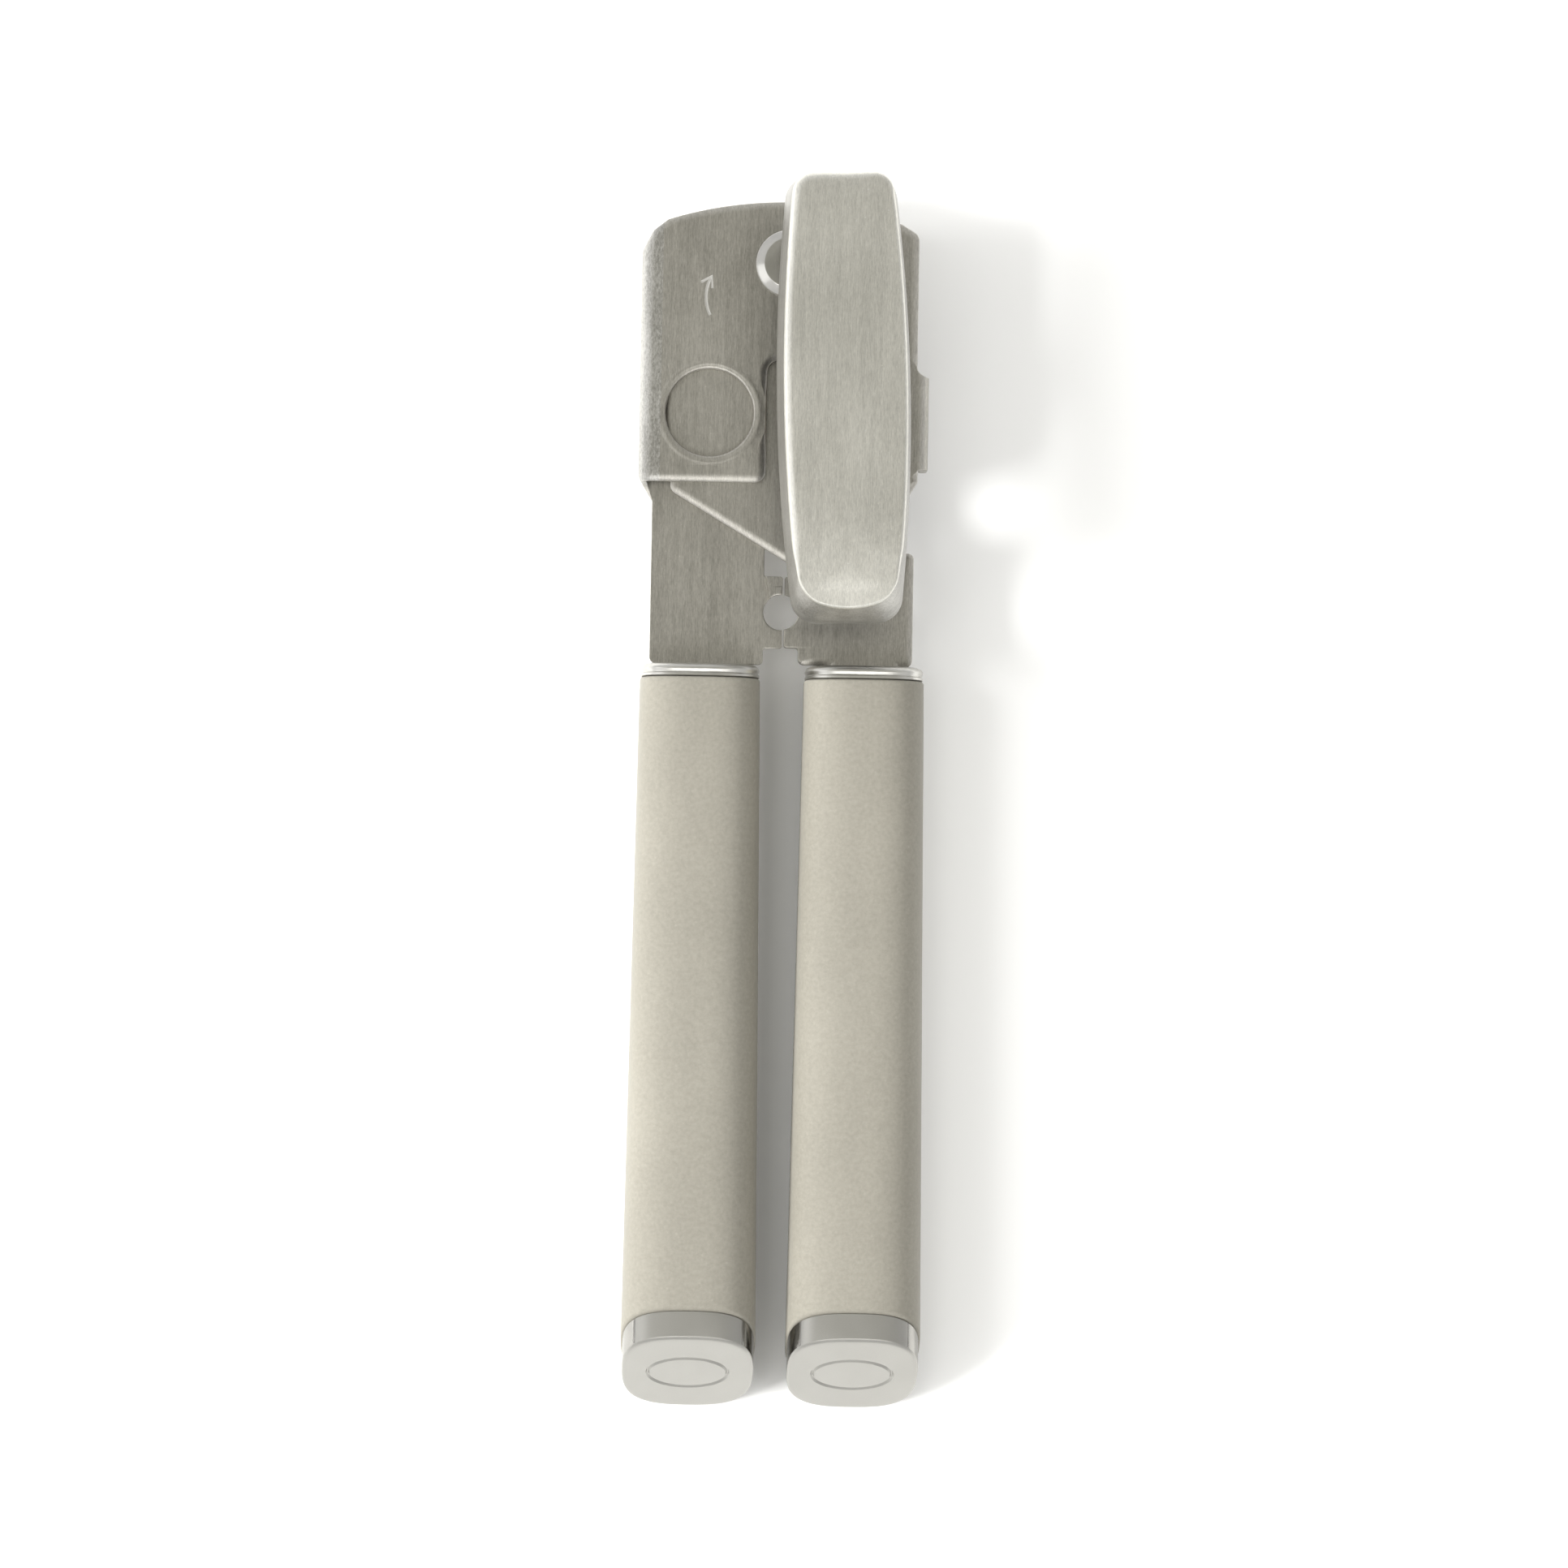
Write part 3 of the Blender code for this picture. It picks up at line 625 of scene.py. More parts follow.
def left_pattern():
    """The left sheet unfolded: cover, bend, lower head layer and handle, anticlockwise."""
    far_edge = [(HEAD_RIGHT, 6.6, 0), (HEAD_RIGHT - 1.0, 8.6, 0)] + head_arc(HEAD_RIGHT - 3.0, -20.6)
    chamfer = (-22.3, 6.3)
    cover = [(FOLD_X, HEAD_BOTTOM, 0), (NOTCH[0], HEAD_BOTTOM, 1.9), (NOTCH[0], NOTCH[1], 2.1)]
    cover += [(HEAD_RIGHT, NOTCH[1], 2.0)] + far_edge
    bend = []
    for step in range(1, 12):
        depth = math.sin(math.pi * step / 12)
        bend.append((FOLD_X - FOLD_LENGTH * step / 12, chamfer[1] - 3.6 * depth, 0))
    lower = [(under(x), y, radius) for x, y, radius in reversed(far_edge)]
    lower += [(under(HEAD_RIGHT), NOTCH[1], 2.0), (under(-3.3), NOTCH[1], 2.8)]
    top, bottom = TABS[0][0], TABS[1][1]
    lower += [(under(-3.3), top, 0.5), (under(-TAB_GAP), top, 0.45)]
    lower += [(under(x), y, radius) for x, y, radius in hang_hole_side(86, 275)]
    lower += [(under(-TAB_GAP), bottom, 0.45), (under(-3.3), bottom, 0.5)]
    lower += [(under(-3.3), SHOULDER_Y, 0.8)]
    near, far = -HANDLE_X + TANG_HALF, -HANDLE_X - TANG_HALF
    lower += [(under(near), SHOULDER_Y, 0), (under(near), TANG_END, 3), (under(far), TANG_END, 3)]
    lower += [(under(far), SHOULDER_Y, 0), (under(FOLD_X), SHOULDER_Y, 1.0)]
    for step in range(12, 0, -1):
        depth = math.sin(math.pi * step / 12) if step > 6 else 1.0
        lower.append((FOLD_X - FOLD_LENGTH * step / 12, HEAD_BOTTOM - 3.2 * (1 - depth), 0))
    return rounded(cover + bend + lower)


def handle_rise(y):
    """The handles tilt up a very little from the hanging hole to the grips."""
    return 0.03 * (min(-y, 69.0) - 61.0) * smooth_step(-y, 59.5, 62.5) if y < -59.5 else 0.0


def tab_step(x, y):
    """Height of the pressed step that lifts the left sheet's far stop tab."""
    if not -58 < y < -50 or x < -8:
        return 0.0
    edge = -3.15 + 0.5 * smooth_step(-y, 52.5, 56.0)
    return 1.7 * smooth_step(x, edge, edge + 0.24)


def fold_left(u, y, h):
    """From the flat left sheet to the folded one; h is measured towards its outer side."""
    world_y = PIVOT.y + y
    if u >= FOLD_X:
        sag = FOLD_SAG * (1 - smooth_step(u, FOLD_X, FOLD_X + FOLD_EASE))
        return Vector((u, world_y, COVER_MID + h - sag))
    if u > FOLD_X - FOLD_LENGTH:
        angle = (FOLD_X - u) / FOLD_R
        radius = FOLD_R + h
        sag = FOLD_SAG * (1 + math.cos(angle)) / 2
        return Vector((FOLD_X - radius * math.sin(angle), world_y, RIGHT_MID + radius * math.cos(angle) - sag))
    x = under(u)
    return Vector((x, world_y, LEFT_MID - h + tab_step(x, y) + handle_rise(y)))


def left_rounding(x, y):
    """The narrow strip between the window and the notch keeps a sharper edge."""
    if abs(x - NOTCH[0]) > 0.4:
        return 1.0
    return 0.15 + 0.85 * smooth_step(abs(y - WINDOW[1]), 2.5, 6.0)


def build_left_sheet():
    window_bead = [(0.2, 0.06), (0.45, 0.1), (0.75, 0.07), (1.05, 0)]
    window = hole(WINDOW, WINDOW_R, 120)
    pivot_hole = hole((0, 0), PIVOT_BORE, 48)
    lower_pivot_hole = hole((under(0), 0), PIVOT_BORE, 48)
    stud_hole = hole((under(CUTTER_AXIS.x), CUTTER_AXIS.y - PIVOT.y), 2.3, 48)
    work = sheet(left_pattern(), [window, pivot_hole, lower_pivot_hole, stud_hole], beads=[window_bead],
                 pockets=[arrow_outline()], hole_roll=HOLE_ROLL, limit=left_rounding)
    bends = [FOLD_X - FOLD_LENGTH * step / 28 for step in range(29)]
    eased = [FOLD_X + FOLD_EASE * step / 10 for step in range(1, 11)]
    tabs = [under(-3.4 + 0.06 * step) for step in range(20)]
    slice_across(work, bends + eased + tabs, "X")
    dips = [-60.0 - 0.8 * step for step in range(14)]
    joggles = [-52.9 - 0.35 * step for step in range(10)]
    slice_across(work, dips + joggles + [-50.0, -58.0], "Y")
    reshape(work, fold_left)
    bmesh.ops.recalc_face_normals(work, faces=work.faces)
    plate = add_piece("left_sheet", work, "left_handle", SATIN, "left_handle_plate")
    plate.data.materials.append(FOLD_STEEL)
    plate.data.materials.append(STAMPED_HIGHLIGHT)
    for polygon in plate.data.polygons:
        centre = polygon.center / MM
        if centre.x < FOLD_X + 1.2 and centre.z > LEFT_MID + 1.0:
            polygon.material_index = 1
        # Faces on the arrow's pocket floors take the pale steel: painted highlight on the stamped lines.
        if math.dist(centre.xy, ARROW_MIDDLE) < 4.5 and abs(centre.z - COVER_MID - SHEET / 2 + 0.055) < 0.05:
            polygon.material_index = 2


ARROW_MIDDLE = Vector(polar(ARROW_CENTRE, ARROW_R, math.pi)) + Vector((0, PIVOT.y))


def arrow_outline():
    """Curved arrow engraved in the cover, clockwise: which way the key turns."""
    tip_angle = 152
    spread = math.radians(33)
    shaft_half, barb_half = 0.26, 0.21
    join = (shaft_half + barb_half * math.cos(spread)) / math.sin(spread)
    join_back = join * math.cos(spread) + barb_half * math.sin(spread)
    join_angle = tip_angle + math.degrees(join_back / ARROW_R)
    heading = math.radians(tip_angle - 90)
    tip = polar(ARROW_CENTRE, ARROW_R, math.radians(tip_angle))

    def placed(ahead, aside):
        return polar(polar(tip, ahead, heading), aside, heading + math.pi / 2)

    barb = []
    for along, offset in ((2.0, -barb_half), (2.0, barb_half)):
        ahead = -along * math.cos(spread) + offset * math.sin(spread)
        barb.append((ahead, along * math.sin(spread) + offset * math.cos(spread)))
    outline = arc(ARROW_CENTRE, ARROW_R + shaft_half, 206, join_angle, 16)
    outline += [placed(ahead, aside) for ahead, aside in barb]
    outline.append(placed(barb_half / math.sin(spread), 0))
    outline += [placed(ahead, -aside) for ahead, aside in reversed(barb)]
    outline += arc(ARROW_CENTRE, ARROW_R - shaft_half, join_angle, 206, 16)
    return outline


def right_pattern():
    """The right sheet with its lug unfolded, anticlockwise."""
    corners = [(-19.5, -38.5, 1.6), (2.55, -51.6, 0.8)]
    corners += [(2.55, TABS[0][0], 0.4), (TAB_GAP, TABS[0][0], 0.45)]
    corners += hang_hole_side(79, -79)
    corners += [(TAB_GAP, TABS[1][1], 0.45), (2.55, TABS[1][1], 0.5), (2.55, SHOULDER_Y, 1.0)]
    near, far = HANDLE_X - TANG_HALF, HANDLE_X + TANG_HALF
    corners += [(near, SHOULDER_Y, 0), (near, TANG_END, 3), (far, TANG_END, 3), (far, SHOULDER_Y, 0)]
    lug_end = LUG_X + LUG_LENGTH + 3.8
    corners += [
        (21.9, SHOULDER_Y, 1.0),
        (21.9, -48.6, 1.0),
        (12.8, -47.4, 3.2),
        (12.8, -40.0, 3.2),
        (20.9, -38.8, 0.8),
        (22.3, -36.4, 0.8),
        (22.3, LUG_Y[1], 0.3),
        (lug_end, LUG_Y[1], 0.8),
        (lug_end, LUG_Y[0], 0.8),
        (LUG_X, LUG_Y[0], 1.6),
        (LUG_X, 5.6, 1.8),
    ]
    corners += head_arc(19.0, -8.0, drop=0.3)
    corners += [(-14.5, 5.5, 4.0), (-20.8, -7.0, 6.0), (-20.8, -33.5, 1.0), (-19.5, -36.0, 1.0)]
    return rounded(corners)


def bend_right(u, y, h):
    """From the flat right sheet to the one with its guide lug bent down."""
    world_y = PIVOT.y + y
    if u <= LUG_X or y < LUG_Y[1] - 0.05 or y > LUG_Y[0] + 1.6:
        return Vector((u, world_y, RIGHT_MID + h + handle_rise(y)))
    centre = RIGHT_MID - LUG_R
    radius = LUG_R + h
    if u < LUG_X + LUG_LENGTH:
        angle = (u - LUG_X) / LUG_R
        return Vector((LUG_X + radius * math.sin(angle), world_y, centre + radius * math.cos(angle)))
    return Vector((LUG_X + radius, world_y, centre - (u - LUG_X - LUG_LENGTH)))


def right_rounding(x, y):
    """The lug and the stop tabs keep an almost sharp edge."""
    on_lug = x > LUG_X - 0.4 and LUG_Y[1] - 1.0 < y < LUG_Y[0] + 1.8
    on_tab = x < 2.9 and SHOULDER_Y - 0.5 < y < -51.0
    return LEAST_SHARE if on_lug or on_tab else 1.0


def build_right_sheet():
    shaft_hole = hole((KEY_AXIS.x, KEY_AXIS.y - PIVOT.y), 4.3, 60)
    pivot_hole = hole((0, 0), PIVOT_BORE, 48)
    work = sheet(right_pattern(), [shaft_hole, pivot_hole], hole_roll=HOLE_ROLL, limit=right_rounding)
    slice_across(work, [LUG_X + LUG_LENGTH * step / 14 for step in range(15)], "X")
    slice_across(work, [-60.0 - 0.8 * step for step in range(14)], "Y")
    reshape(work, bend_right)
    bmesh.ops.recalc_face_normals(work, faces=work.faces)
    add_piece("right_sheet", work, "right_handle", SATIN, "right_handle_plate")


# ---- turned pieces

def softened(profile, radius):
    """A turned profile with its corners cut by small chamfers; ends on the axis stay."""
    result = []
    count = len(profile)
    closed = profile[0][0] > 0
    for index, point in enumerate(profile):
        if not closed and index in (0, count - 1):
            result.append(point)
            continue
        here = Vector(point)
        before = Vector(profile[index - 1]) - here
        after = Vector(profile[(index + 1) % count]) - here
        for side in (before, after):
            cut = min(radius, side.length * 0.4)
            result.append(tuple(here + side.normalized() * cut))
    return result


def build_turned(name, profile, axis, body, material, node, soft=0.25):
    work = lathe(softened(softened(profile, soft), soft / 3), (axis.x, axis.y))
    return add_piece(name, work, body, material, node)


def build_rivet():
    head = COVER_MID + SHEET / 2 + 0.05
    tail = corner("pivot_washer", 0).z - 0.02
    bottom = corner("pivot_rivet", 0).z
    profile = [(0, head + 1.72), (2.6, head + 1.72), (4.25, head + 1.68), (5.6, head + 0.75), (5.8, head + 0.45),
               (5.8, head), (3.0, head), (3.0, tail), (4.5, tail), (4.1, bottom + 0.6), (2.8, bottom), (0, bottom)]
    build_turned("rivet", profile, PIVOT, "left_handle", BRIGHT, "pivot_rivet", 0.08)
    build_washer("rivet_washer", "pivot_washer", PIVOT_BORE, PIVOT, "left_handle")


def build_washer(name, node, bore, axis, body, soft=0.25):
    low, high = corner(node, 0), corner(node, 1)
    outer = (high.x - low.x) / 2
    profile = [(outer, high.z), (outer, low.z), (bore, low.z), (bore, high.z)]
    build_turned(name, profile, axis, body, BRIGHT, node, soft)


def gear_outline(teeth, module, phase):
    """Teeth with curved flanks and rounded tips, anticlockwise about the origin."""
    pitch = module * teeth / 2
    tip = pitch + 0.85 * module
    root = pitch - 1.2 * module
    step = math.tau / teeth
    flank = [(0, 0.290), (0.12, 0.262), (0.35, 0.235), (0.6, 0.195), (0.82, 0.145), (1, 0.085)]
    points = []
    for tooth in range(teeth):
        middle = phase + tooth * step
        for share, width in flank:
            points.append(polar((0, 0), root + (tip - root) * share, middle - width * step))
        for share, width in reversed(flank):
            points.append(polar((0, 0), root + (tip - root) * share, middle + width * step))
    return points


def build_gear(name, node, teeth, phase, axis, bore, body):
    low, high = corner(node, 0), corner(node, 1)
    bore_outline = hole((0, 0), bore, 60)
    work = sheet(gear_outline(teeth, 1.2, phase), [bore_outline], (0.18, 0.14), high.z - low.z)
    lift(work, axis, low.z, high.z)
    add_piece(name, work, body, HARD, node)


def build_feed_wheel():
    """Serrated wheel with chamfered, finely cut teeth."""
    low, high = corner("feed_wheel", 0), corner("feed_wheel", 1)
    teeth = 22
    outer = (high.x - low.x) / 2
    outline = []
    for tooth in range(teeth):
        angle = math.tau * tooth / teeth
        for turn, depth in ((-0.03, 0), (0.045, 0), (0.115, 0.55), (0.1428, 0.85), (0.17, 0.8), (0.225, 0.4)):
            outline.append(polar((0, 0), outer - depth, angle + turn))
    work = sheet(outline, [hole((0, 0), SHAFT_BORE, 60)], (0.3, 0.25), high.z - low.z)
    lift(work, KEY_AXIS, low.z, high.z)
    add_piece("serrated_wheel", work, "key", HARD, "feed_wheel")


def build_drive():
    """What turns with the key below its shell, and the bushing it turns in."""
    build_washer("collar", "key_collar", SHAFT_BORE, KEY_AXIS, "key")
    low = corner("drive_shaft", 0).z
    shaft = [(0, KEY_LOW), (2.6, KEY_LOW), (2.6, 2.6), (2.0, 2.6), (2.0, low + 0.3), (1.7, low), (0, low)]
    build_turned("shaft", shaft, KEY_AXIS, "key", HARD, "drive_shaft", 0.15)
    build_washer("thrust_washer", "shaft_washer", SHAFT_BORE, KEY_AXIS, "key", 0.1)
    build_gear("drive_pinion", "drive_gear", 14, math.pi, KEY_AXIS, SHAFT_BORE, "key")
    build_feed_wheel()
    low, high = corner("shaft_nut", 0), corner("shaft_nut", 1)
    flats = [(*polar((0, 0), 3.9, math.tau * side / 6), 0.35) for side in range(6)]
    work = sheet(rounded(flats, 5), [hole((0, 0), 2.2, 48)], (0.35, 0.3), high.z - low.z)
    reshape(work, lambda x, y, z: Vector((x + KEY_AXIS.x, y + KEY_AXIS.y, (low.z + high.z) / 2 - z)))
    bmesh.ops.recalc_face_normals(work, faces=work.faces)
    add_piece("lock_nut", work, "key", BRIGHT, "shaft_nut")
    flare, flange = corner("shaft_bushing", 0).z, corner("shaft_bushing", 1).z
    bushing = [(6.0, flange), (6.0, flange - 0.8), (4.0, flange - 0.8), (4.0, flare + 1.0), (5.2, flare + 1.0),
               (5.2, flare), (2.9, flare), (2.9, flange - 0.4), (5.2, flange - 0.4), (5.6, flange)]
    build_turned("bushing", bushing, KEY_AXIS, "right_handle", BRASS, "shaft_bushing", 0.12)


def build_cutter():
    low, high = corner("cutter_wheel", 0).z, corner("cutter_wheel", 1).z
    edge = corner("cutter_wheel", 1).x - CUTTER_AXIS.x
    wheel = [(6.6, high), (7.2, high - 0.5), (edge - 1.2, low + 0.65), (edge, low + 0.4), (edge - 0.1, low + 0.32),
             (edge - 1.8, low), (3.5, low), (3.5, high)]
    build_turned("cutting_wheel", wheel, CUTTER_AXIS, "cutter", BRIGHT, "cutter_wheel", 0.06)
    build_gear("cutter_pinion", "cutter_gear", 18, math.pi / 18, CUTTER_AXIS, CUTTER_BORE, "cutter")
    build_washer("cutter_thrust_washer", "cutter_washer", CUTTER_BORE, CUTTER_AXIS, "cutter", 0.1)
    top = LEFT_MID + SHEET / 2
    stud = [(0, top), (2.0, top), (2.0, top - SHEET - 0.3), (3.2, top - SHEET - 0.3), (3.2, 1.4), (1.5, 1.4),
            (1.5, 5.8), (0, 5.8)]
    build_turned("stud", stud, CUTTER_AXIS, "left_handle", HARD, "cutter_stud", 0.12)
    screw = [(0, 5.4), (1.2, 5.4), (1.2, 1.0), (4.6, 1.0), (4.6, 0.5), (4.0, 0.0), (0, 0.0)]
    head = build_turned(
        "cutter_screw_head", screw, CUTTER_AXIS, "left_handle", BRIGHT, "cutter_screw", 0.15)
    slot = bmesh.new()
    bmesh.ops.create_cube(slot, size=1)
    reshape(slot, lambda x, y, z: Vector((x * 12 + CUTTER_AXIS.x, y * 1.0 + CUTTER_AXIS.y, z * 1.1)))
    carve(head, slot)


# ---- key

def key_outline(inwards):
    """The key's outline in plan, moved inwards: bowed long sides, rounded corners."""
    wide = KEY_HALF[0] - inwards
    long = KEY_HALF[1] - inwards
    radius = max(4.4 - inwards, 0.9)
    heights = [long * KEY_SIDE_REACH * step / 20 for step in range(-20, 21)]
    side = [(wide - KEY_BOW * (y / KEY_HALF[1]) ** 2, y, 0) for y in heights]
    end = (wide - KEY_BOW * 0.95, long - 0.2, radius)
    right = [(end[0], -end[1], radius)] + side + [end]
    left = [(-x, -y, r) for x, y, r in right]
    reach = (end[0] - radius) * 0.9
    far = [(reach * (1 - 2 * step / (KEY_END_POINTS - 1)), long, 0) for step in range(KEY_END_POINTS)]
    near = [(-x, -y, r) for x, y, r in far]
    return rounded(right + far + left + near, 9)


def key_place(x, y):
    """Plan position of a point given along and across the key."""
    cosine, sine = math.cos(KEY_TURN), math.sin(KEY_TURN)
    return KEY_AXIS.x + x * cosine - y * sine, KEY_AXIS.y + x * sine + y * cosine


def key_ring(inwards, height):
    """Outline at an offset and height, turned into place.

    Shoulders tighten at the near end and on the right, and the near edge of the top is set back.
    Past KEY_MIDDLE the rings only shrink.
    """
    shoulder = KEY_WALL_REACH < inwards < 3.0 and height > KEY_HIGH - 3
    tight = 0.95 + (inwards - 0.95) * 0.28 if shoulder else inwards
    tight_height = KEY_HIGH - (KEY_HIGH - height) * 0.35 if shoulder else height
    squeeze = max(0.0, inwards - KEY_MIDDLE)
    ring = []
    for (x, y), (tight_x, tight_y) in zip(key_outline(inwards - squeeze), key_outline(tight - squeeze)):
        share = max(smooth_step(-y, 22, 35), 0.75 * smooth_step(x, 2, 8))
        x += (tight_x - x) * share
        y += (tight_y - y) * share
        level = height + (tight_height - height) * share
        x *= 1 - squeeze / 3
        y *= 1 - squeeze / 30
        if inwards > KEY_WALL_REACH:
            set_back = (1 - smooth_step(inwards, 2.5, 8)) * smooth_step(-y, 24, 34)
            y += set_back * (0.9 + 0.035 * x * x)
            level -= key_crown(y)
        ring.append((*key_place(x, y), level))
    return ring


def key_crown(y):
    """The top sinks towards the ends, far more at the near one."""
    near = max(0.0, (-y - 13.0) / (KEY_HALF[1] - 13.0)) ** 2.3
    far = smooth_step(y, KEY_HALF[1] - 8, KEY_HALF[1] + 2)
    return 2.2 * near + 0.5 * far


def bridge_sides(work, row):
    """Close a ring of the key with strips from its right side to its left."""
    side = len(row) // 2 - KEY_END_POINTS
    last = 2 * side + KEY_END_POINTS - 1
    work.faces.new(row[last:] + row[:1])
    work.faces.new(row[side - 1:side + KEY_END_POINTS + 1])
    for index in range(side - 1):
        work.faces.new((row[index], row[index + 1], row[last - index - 1], row[last - index]))


def build_key():
    """Drawn shell: base rim, steep wall, rounded shoulder and a gently crowned top."""
    shoulder = []
    turns = 9
    for step in range(turns + 1):
        angle = math.pi / 2 * step / turns
        shoulder.append((0.95 + 1.6 * (1 - math.cos(angle)), KEY_HIGH - 0.15 - 1.7 * (1 - math.sin(angle))))
    crown = [(3.4, KEY_HIGH - 0.09), (4.4, KEY_HIGH - 0.06), (5.6, KEY_HIGH - 0.03), (6.8, KEY_HIGH - 0.01)]
    crown += [(8.0, KEY_HIGH), (9.0, KEY_HIGH), (9.6, KEY_HIGH)]
    wall = 0.9
    outside = [(0.2, KEY_LOW), (0.04, KEY_LOW + 0.12), (0, KEY_LOW + 0.4), (0.45, KEY_HIGH - 6)]
    inside = [(8.0, KEY_HIGH - wall), (2.9 + wall, KEY_HIGH - wall), (1.3 + wall, KEY_HIGH - 1.4 - wall),
              (0.4 + wall, KEY_HIGH - 6), (wall, KEY_LOW + 0.3), (wall - 0.2, KEY_LOW)]
    work = bmesh.new()
    rows = add_rings(work, [key_ring(*point) for point in outside + shoulder + crown])
    inner = add_rings(work, [key_ring(*point) for point in inside])
    for row in (rows[-1], inner[0]):
        bridge_sides(work, row)
    join_rows(work, rows[0], inner[-1])
    bmesh.ops.recalc_face_normals(work, faces=work.faces)
    wall_faces = len(outside) * len(rows[0])
    key = add_piece("turning_key", work, "key", KEY_SATIN, "key_shell", 50)
    # The base rim and wall take the darker sandy steel: painted shade on the key's sides.
    key.data.materials.append(KEY_WALL_SHADED)
    for polygon in key.data.polygons[:wall_faces]:
        polygon.material_index = 1
    build_key_filling()


def build_key_filling():
    """Dark plate inside the key's rim, with a hole for the shaft."""
    work = sheet(key_outline(1.7), [hole((0, 0), 4.7, 48)], (0.5, 0.5), 3.4)
    middle = KEY_LOW + 2.3
    reshape(work, lambda x, y, z: Vector((*key_place(x, y), middle + z)))
    add_piece("key_filling", work, "key", PLASTIC, "key_core")


# ---- handles

def signed_power(value, power):
    return math.copysign(abs(value) ** (2 / power), value)


def section_ring(side, half, y, slant=0.0, power=SECTION_POWER):
    """Rounded-square ring round a handle's axis, its plane leaning with the slant."""
    ring = []
    for index in range(SECTION_POINTS):
        angle = math.tau * (index + 0.5) / SECTION_POINTS
        across = half[0] * signed_power(math.cos(angle), power)
        rise = half[1] * signed_power(math.sin(angle), power)
        ring.append((side * HANDLE_X + across, PIVOT.y + y + rise * slant, HANDLE_Z + rise))
    return ring


def grip_half(y):
    share = (GRIP_START - y) / (GRIP_START - GRIP_END)
    return 10.15 + 1.2 * share, 8.4 + 0.6 * share


def inset(half, amount):
    return half[0] - amount, half[1] - amount


def build_ferrule(side, name, body, node):
    """Polished domed collar with a groove and a thin lip next to the grip."""
    half = inset(grip_half(GRIP_START), 0.15)
    front = SHOULDER_Y - 0.15
    dome = []
    for step in range(9):
        angle = math.pi / 2 * step / 8
        dome.append((1.5 * (1 - math.sin(angle)), front - 0.95 * (1 - math.cos(angle))))
    profile = [(3.2, front + 0.02)] + dome + [(0.02, front - 1.15), (0.2, front - 1.45), (0.2, front - 1.6)]
    profile += [(0.0, front - 1.8), (0.0, front - 2.15), (0.25, front - 2.3), (2.6, front - 2.32)]
    rings = [section_ring(side, inset(half, inwards), y) for inwards, y in profile]
    add_piece(name, loft(rings), body, POLISHED, node)


def build_grip(side, name, body, node):
    half = grip_half(GRIP_START)
    lead = [(0.9, 0.02), (0.55, 0.0), (0.3, -0.05), (0.12, -0.18), (0.0, -0.45)]
    rings = [section_ring(side, inset(half, inwards), GRIP_START + y) for inwards, y in lead]
    for step in range(1, 30):
        share = step / 30
        y = GRIP_START - 0.45 + (GRIP_END + 0.6 - GRIP_START + 0.45) * share
        rings.append(section_ring(side, grip_half(y), y, GRIP_SLANT * smooth_step(share, 0.15, 1.0)))
    end = grip_half(GRIP_END)
    for inwards, y in [(0.0, 0.6), (0.05, 0.28), (0.2, 0.08), (0.4, 0.0), (1.2, 0.0)]:
        rings.append(section_ring(side, inset(end, inwards), GRIP_END + y, GRIP_SLANT))
    add_piece(name, loft(rings), body, GRIP, node)


def build_cap(side, name, body, node):
    """Cap: polished band, crisp edge, satin slanted face with a plain oval groove."""
    half = inset(grip_half(GRIP_END), CAP_INSET)
    root = GRIP_END - 0.12
    face = GRIP_END - CAP_INSET - BAND
    band = [(1.2, root), (0.15, root), (0.0, root - 0.15), (0.0, face + 0.5), (0.03, face + 0.36)]
    rim = [(0.12, face + 0.22), (0.28, face + 0.1), (0.5, face + 0.06), (0.9, face + 0.05), (1.6, face + 0.05)]
    rings = [section_ring(side, inset(half, inwards), y, GRIP_SLANT) for inwards, y in band + rim]
    for narrower, deeper in ((0, 0), (0.08, 0.1), (0.24, 0.34), (0.44, 0.34), (0.6, 0.1), (0.68, 0)):
        oval = (half[0] * 0.64 - narrower, half[1] * 0.45 - narrower)
        rings.append(section_ring(side, oval, face + 0.05 + deeper, GRIP_SLANT, 2.0))
    piece = add_piece(name, loft(rings), body, CAP_FACE, node, 28)
    piece.data.materials.append(BAND_STEEL)
    for polygon in piece.data.polygons[:3 * SECTION_POINTS]:
        if abs(polygon.normal.dot(FACE_NORMAL)) < 0.45:
            polygon.material_index = 1


def paint(node, material):
    """Material for a CAD node that stays in the picture, inside a grip."""
    data = frame["nodes"][node].data
    data.materials.clear()
    data.materials.append(material)


def build_handles():
    for side, word in ((-1, "left"), (1, "right")):
        body = word + "_handle"
        build_ferrule(side, word + "_collar", body, word + "_ferrule")
        build_grip(side, word + "_sleeve", body, word + "_grip")
        build_cap(side, word + "_cap", body, word + "_end_cap")
        paint(word + "_core", PLASTIC)
        paint(word + "_tang_pin", HARD)


# ---- light, floor, camera

def build_floor():
    work = bmesh.new()
    half = 3000
    corners = ((-half, -half), (half, -half), (half, half), (-half, half))
    work.faces.new([work.verts.new((x, y, 0)) for x, y in corners])
    floor = linked("floor", work)
    floor.location.z = -0.00002
    nodes = Nodes("floor")
    nodes.set("Base Color", (0.9, 0.9, 0.893, 1))
    nodes.set("Roughness", 0.9)
    nodes.set("Specular IOR Level", 0.1)
    nodes.set("Emission Color", (1, 1, 1, 1))
    nodes.set("Emission Strength", 0.05)
    floor.data.materials.append(nodes.material)


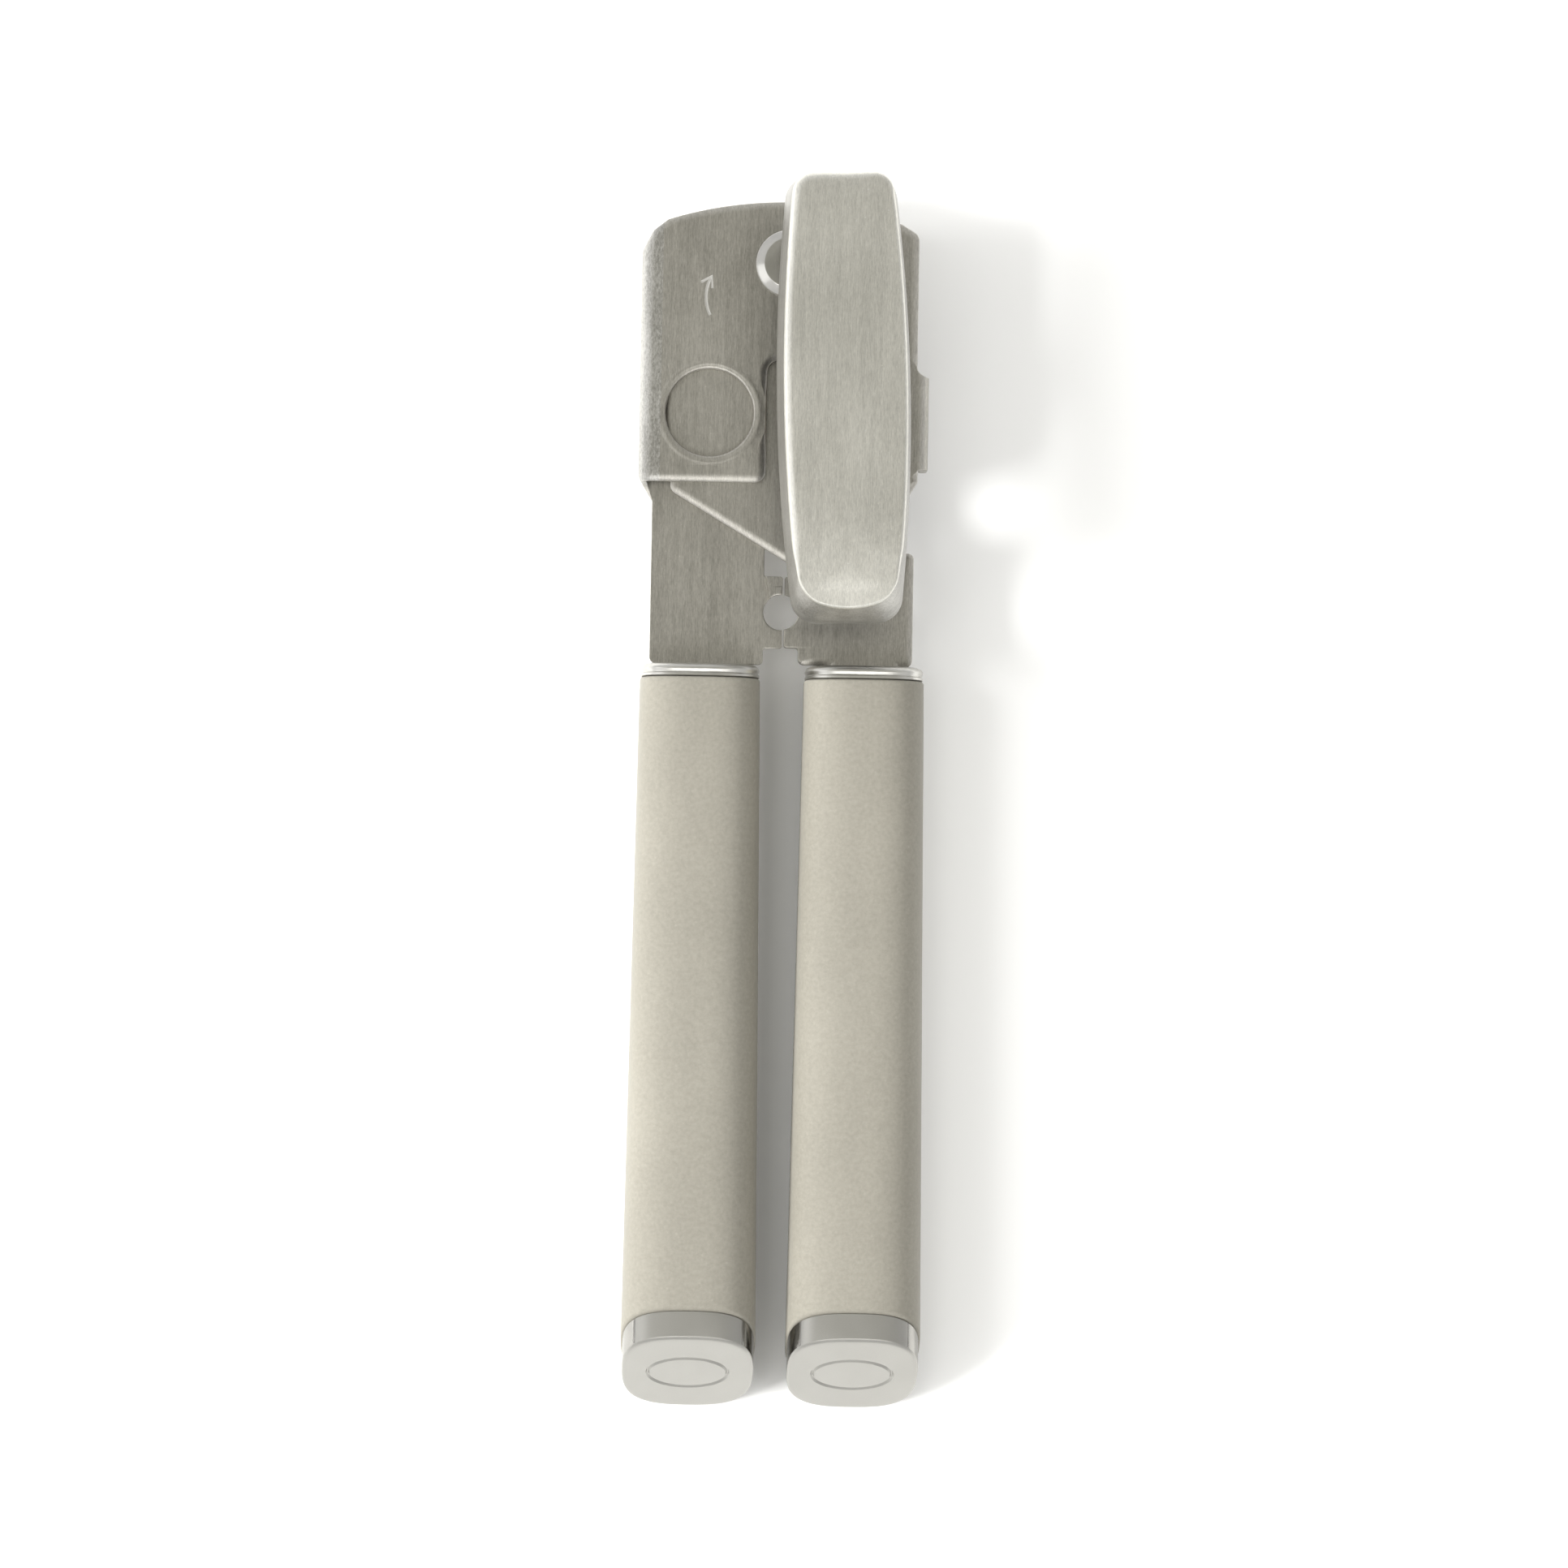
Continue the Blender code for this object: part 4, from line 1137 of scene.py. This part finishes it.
def add_softbox(name, azimuth, elevation, distance, size, watts, diffuse=True, glossy=True):
    """Rectangular studio light aimed at the opener; angles in degrees round and above the floor."""
    azimuth, elevation = math.radians(azimuth), math.radians(elevation)
    target = Vector((0, 0.02, 0))
    towards = Vector((math.cos(azimuth) * math.cos(elevation), math.sin(azimuth) * math.cos(elevation),
                      math.sin(elevation)))
    light = bpy.data.lights.new(name, "AREA")
    light.shape = "RECTANGLE"
    light.size = size[0]
    light.size_y = size[1]
    light.energy = watts
    lamp = bpy.data.objects.new(name, light)
    lamp.location = target + towards * distance
    lamp.rotation_euler = (-towards).to_track_quat("-Z", "Y").to_euler()
    lamp.visible_diffuse = diffuse
    lamp.visible_glossy = glossy
    bpy.context.scene.collection.objects.link(lamp)


def build_light():
    """Softboxes on the left and above, fill on the right, a panel for reflections at the near side."""
    add_softbox("key_light", 192, 29, 1.5, (0.5, 0.26), 27, glossy=False)
    add_softbox("left_fill", 180, 38, 1.6, (1.4, 1.0), 6.0, glossy=False)
    add_softbox("key_reflector", 192, 31, 1.48, (0.9, 0.7), 1.6)
    add_softbox("high_light", 168, 43, 1.5, (0.3, 0.3), 5.0, glossy=False)
    add_softbox("top_light", 180, 73, 1.5, (0.4, 0.4), 1.8, glossy=False)
    add_softbox("fill_light", 10, 52, 1.6, (1.0, 0.8), 8.0, glossy=False)
    add_softbox("near_panel", 266, 57, 1.2, (1.1, 0.42), 3.2, diffuse=False)


def build_world():
    """Pale surroundings, a little darker and warmer overhead and dimmer on the right."""
    world = bpy.data.worlds.new("studio")
    nodes = Tree(world)
    split = nodes.add("ShaderNodeSeparateXYZ")
    nodes.link(nodes.add("ShaderNodeTexCoord").outputs["Generated"], split.inputs[0])
    dome = nodes.add("ShaderNodeValToRGB")
    stops = []
    for position, level, warmth in ((0, 0.9, 0), (0.3, 1, 0), (0.66, 0.94, 0.2), (0.88, 0.68, 0.8), (1, 0.51, 1)):
        stops.append((position, (level * (1 + 0.02 * warmth), level, level * (1 - 0.11 * warmth))))
    fill_ramp(dome, stops)
    nodes.link(split.outputs["Z"], dome.inputs["Fac"])
    across = nodes.add("ShaderNodeMapRange", {"From Min": -1, "From Max": 1, "To Min": 0.9, "To Max": 0.6})
    nodes.link(split.outputs["X"], across.inputs["Value"])
    product = nodes.add("ShaderNodeVectorMath", operation="SCALE")
    nodes.link(dome.outputs["Color"], product.inputs[0])
    nodes.link(across.outputs["Result"], product.inputs["Scale"])
    background = world.node_tree.nodes["Background"]
    nodes.link(product.outputs[0], background.inputs["Color"])
    background.inputs["Strength"].default_value = 1.03
    bpy.context.scene.world = world
    bpy.context.scene.view_settings.view_transform = "Standard"


def build_camera():
    """Almost straight above the grips."""
    camera = bpy.data.objects.new("camera", bpy.data.cameras.new("camera"))
    camera.data.sensor_width = 36.0
    camera.data.lens = 100.006
    camera.data.clip_start = 0.05
    camera.location = (-0.018242, PIVOT.y * MM - 0.111269, 0.745)
    camera.rotation_euler = [math.radians(angle) for angle in (1.80358, -1.50416, 0.99983)]
    bpy.context.scene.collection.objects.link(camera)
    bpy.context.scene.camera = camera


build_camera()
build_light()
build_world()
build_floor()
build_left_sheet()
build_right_sheet()
build_rivet()
build_key()
build_drive()
build_cutter()
build_handles()
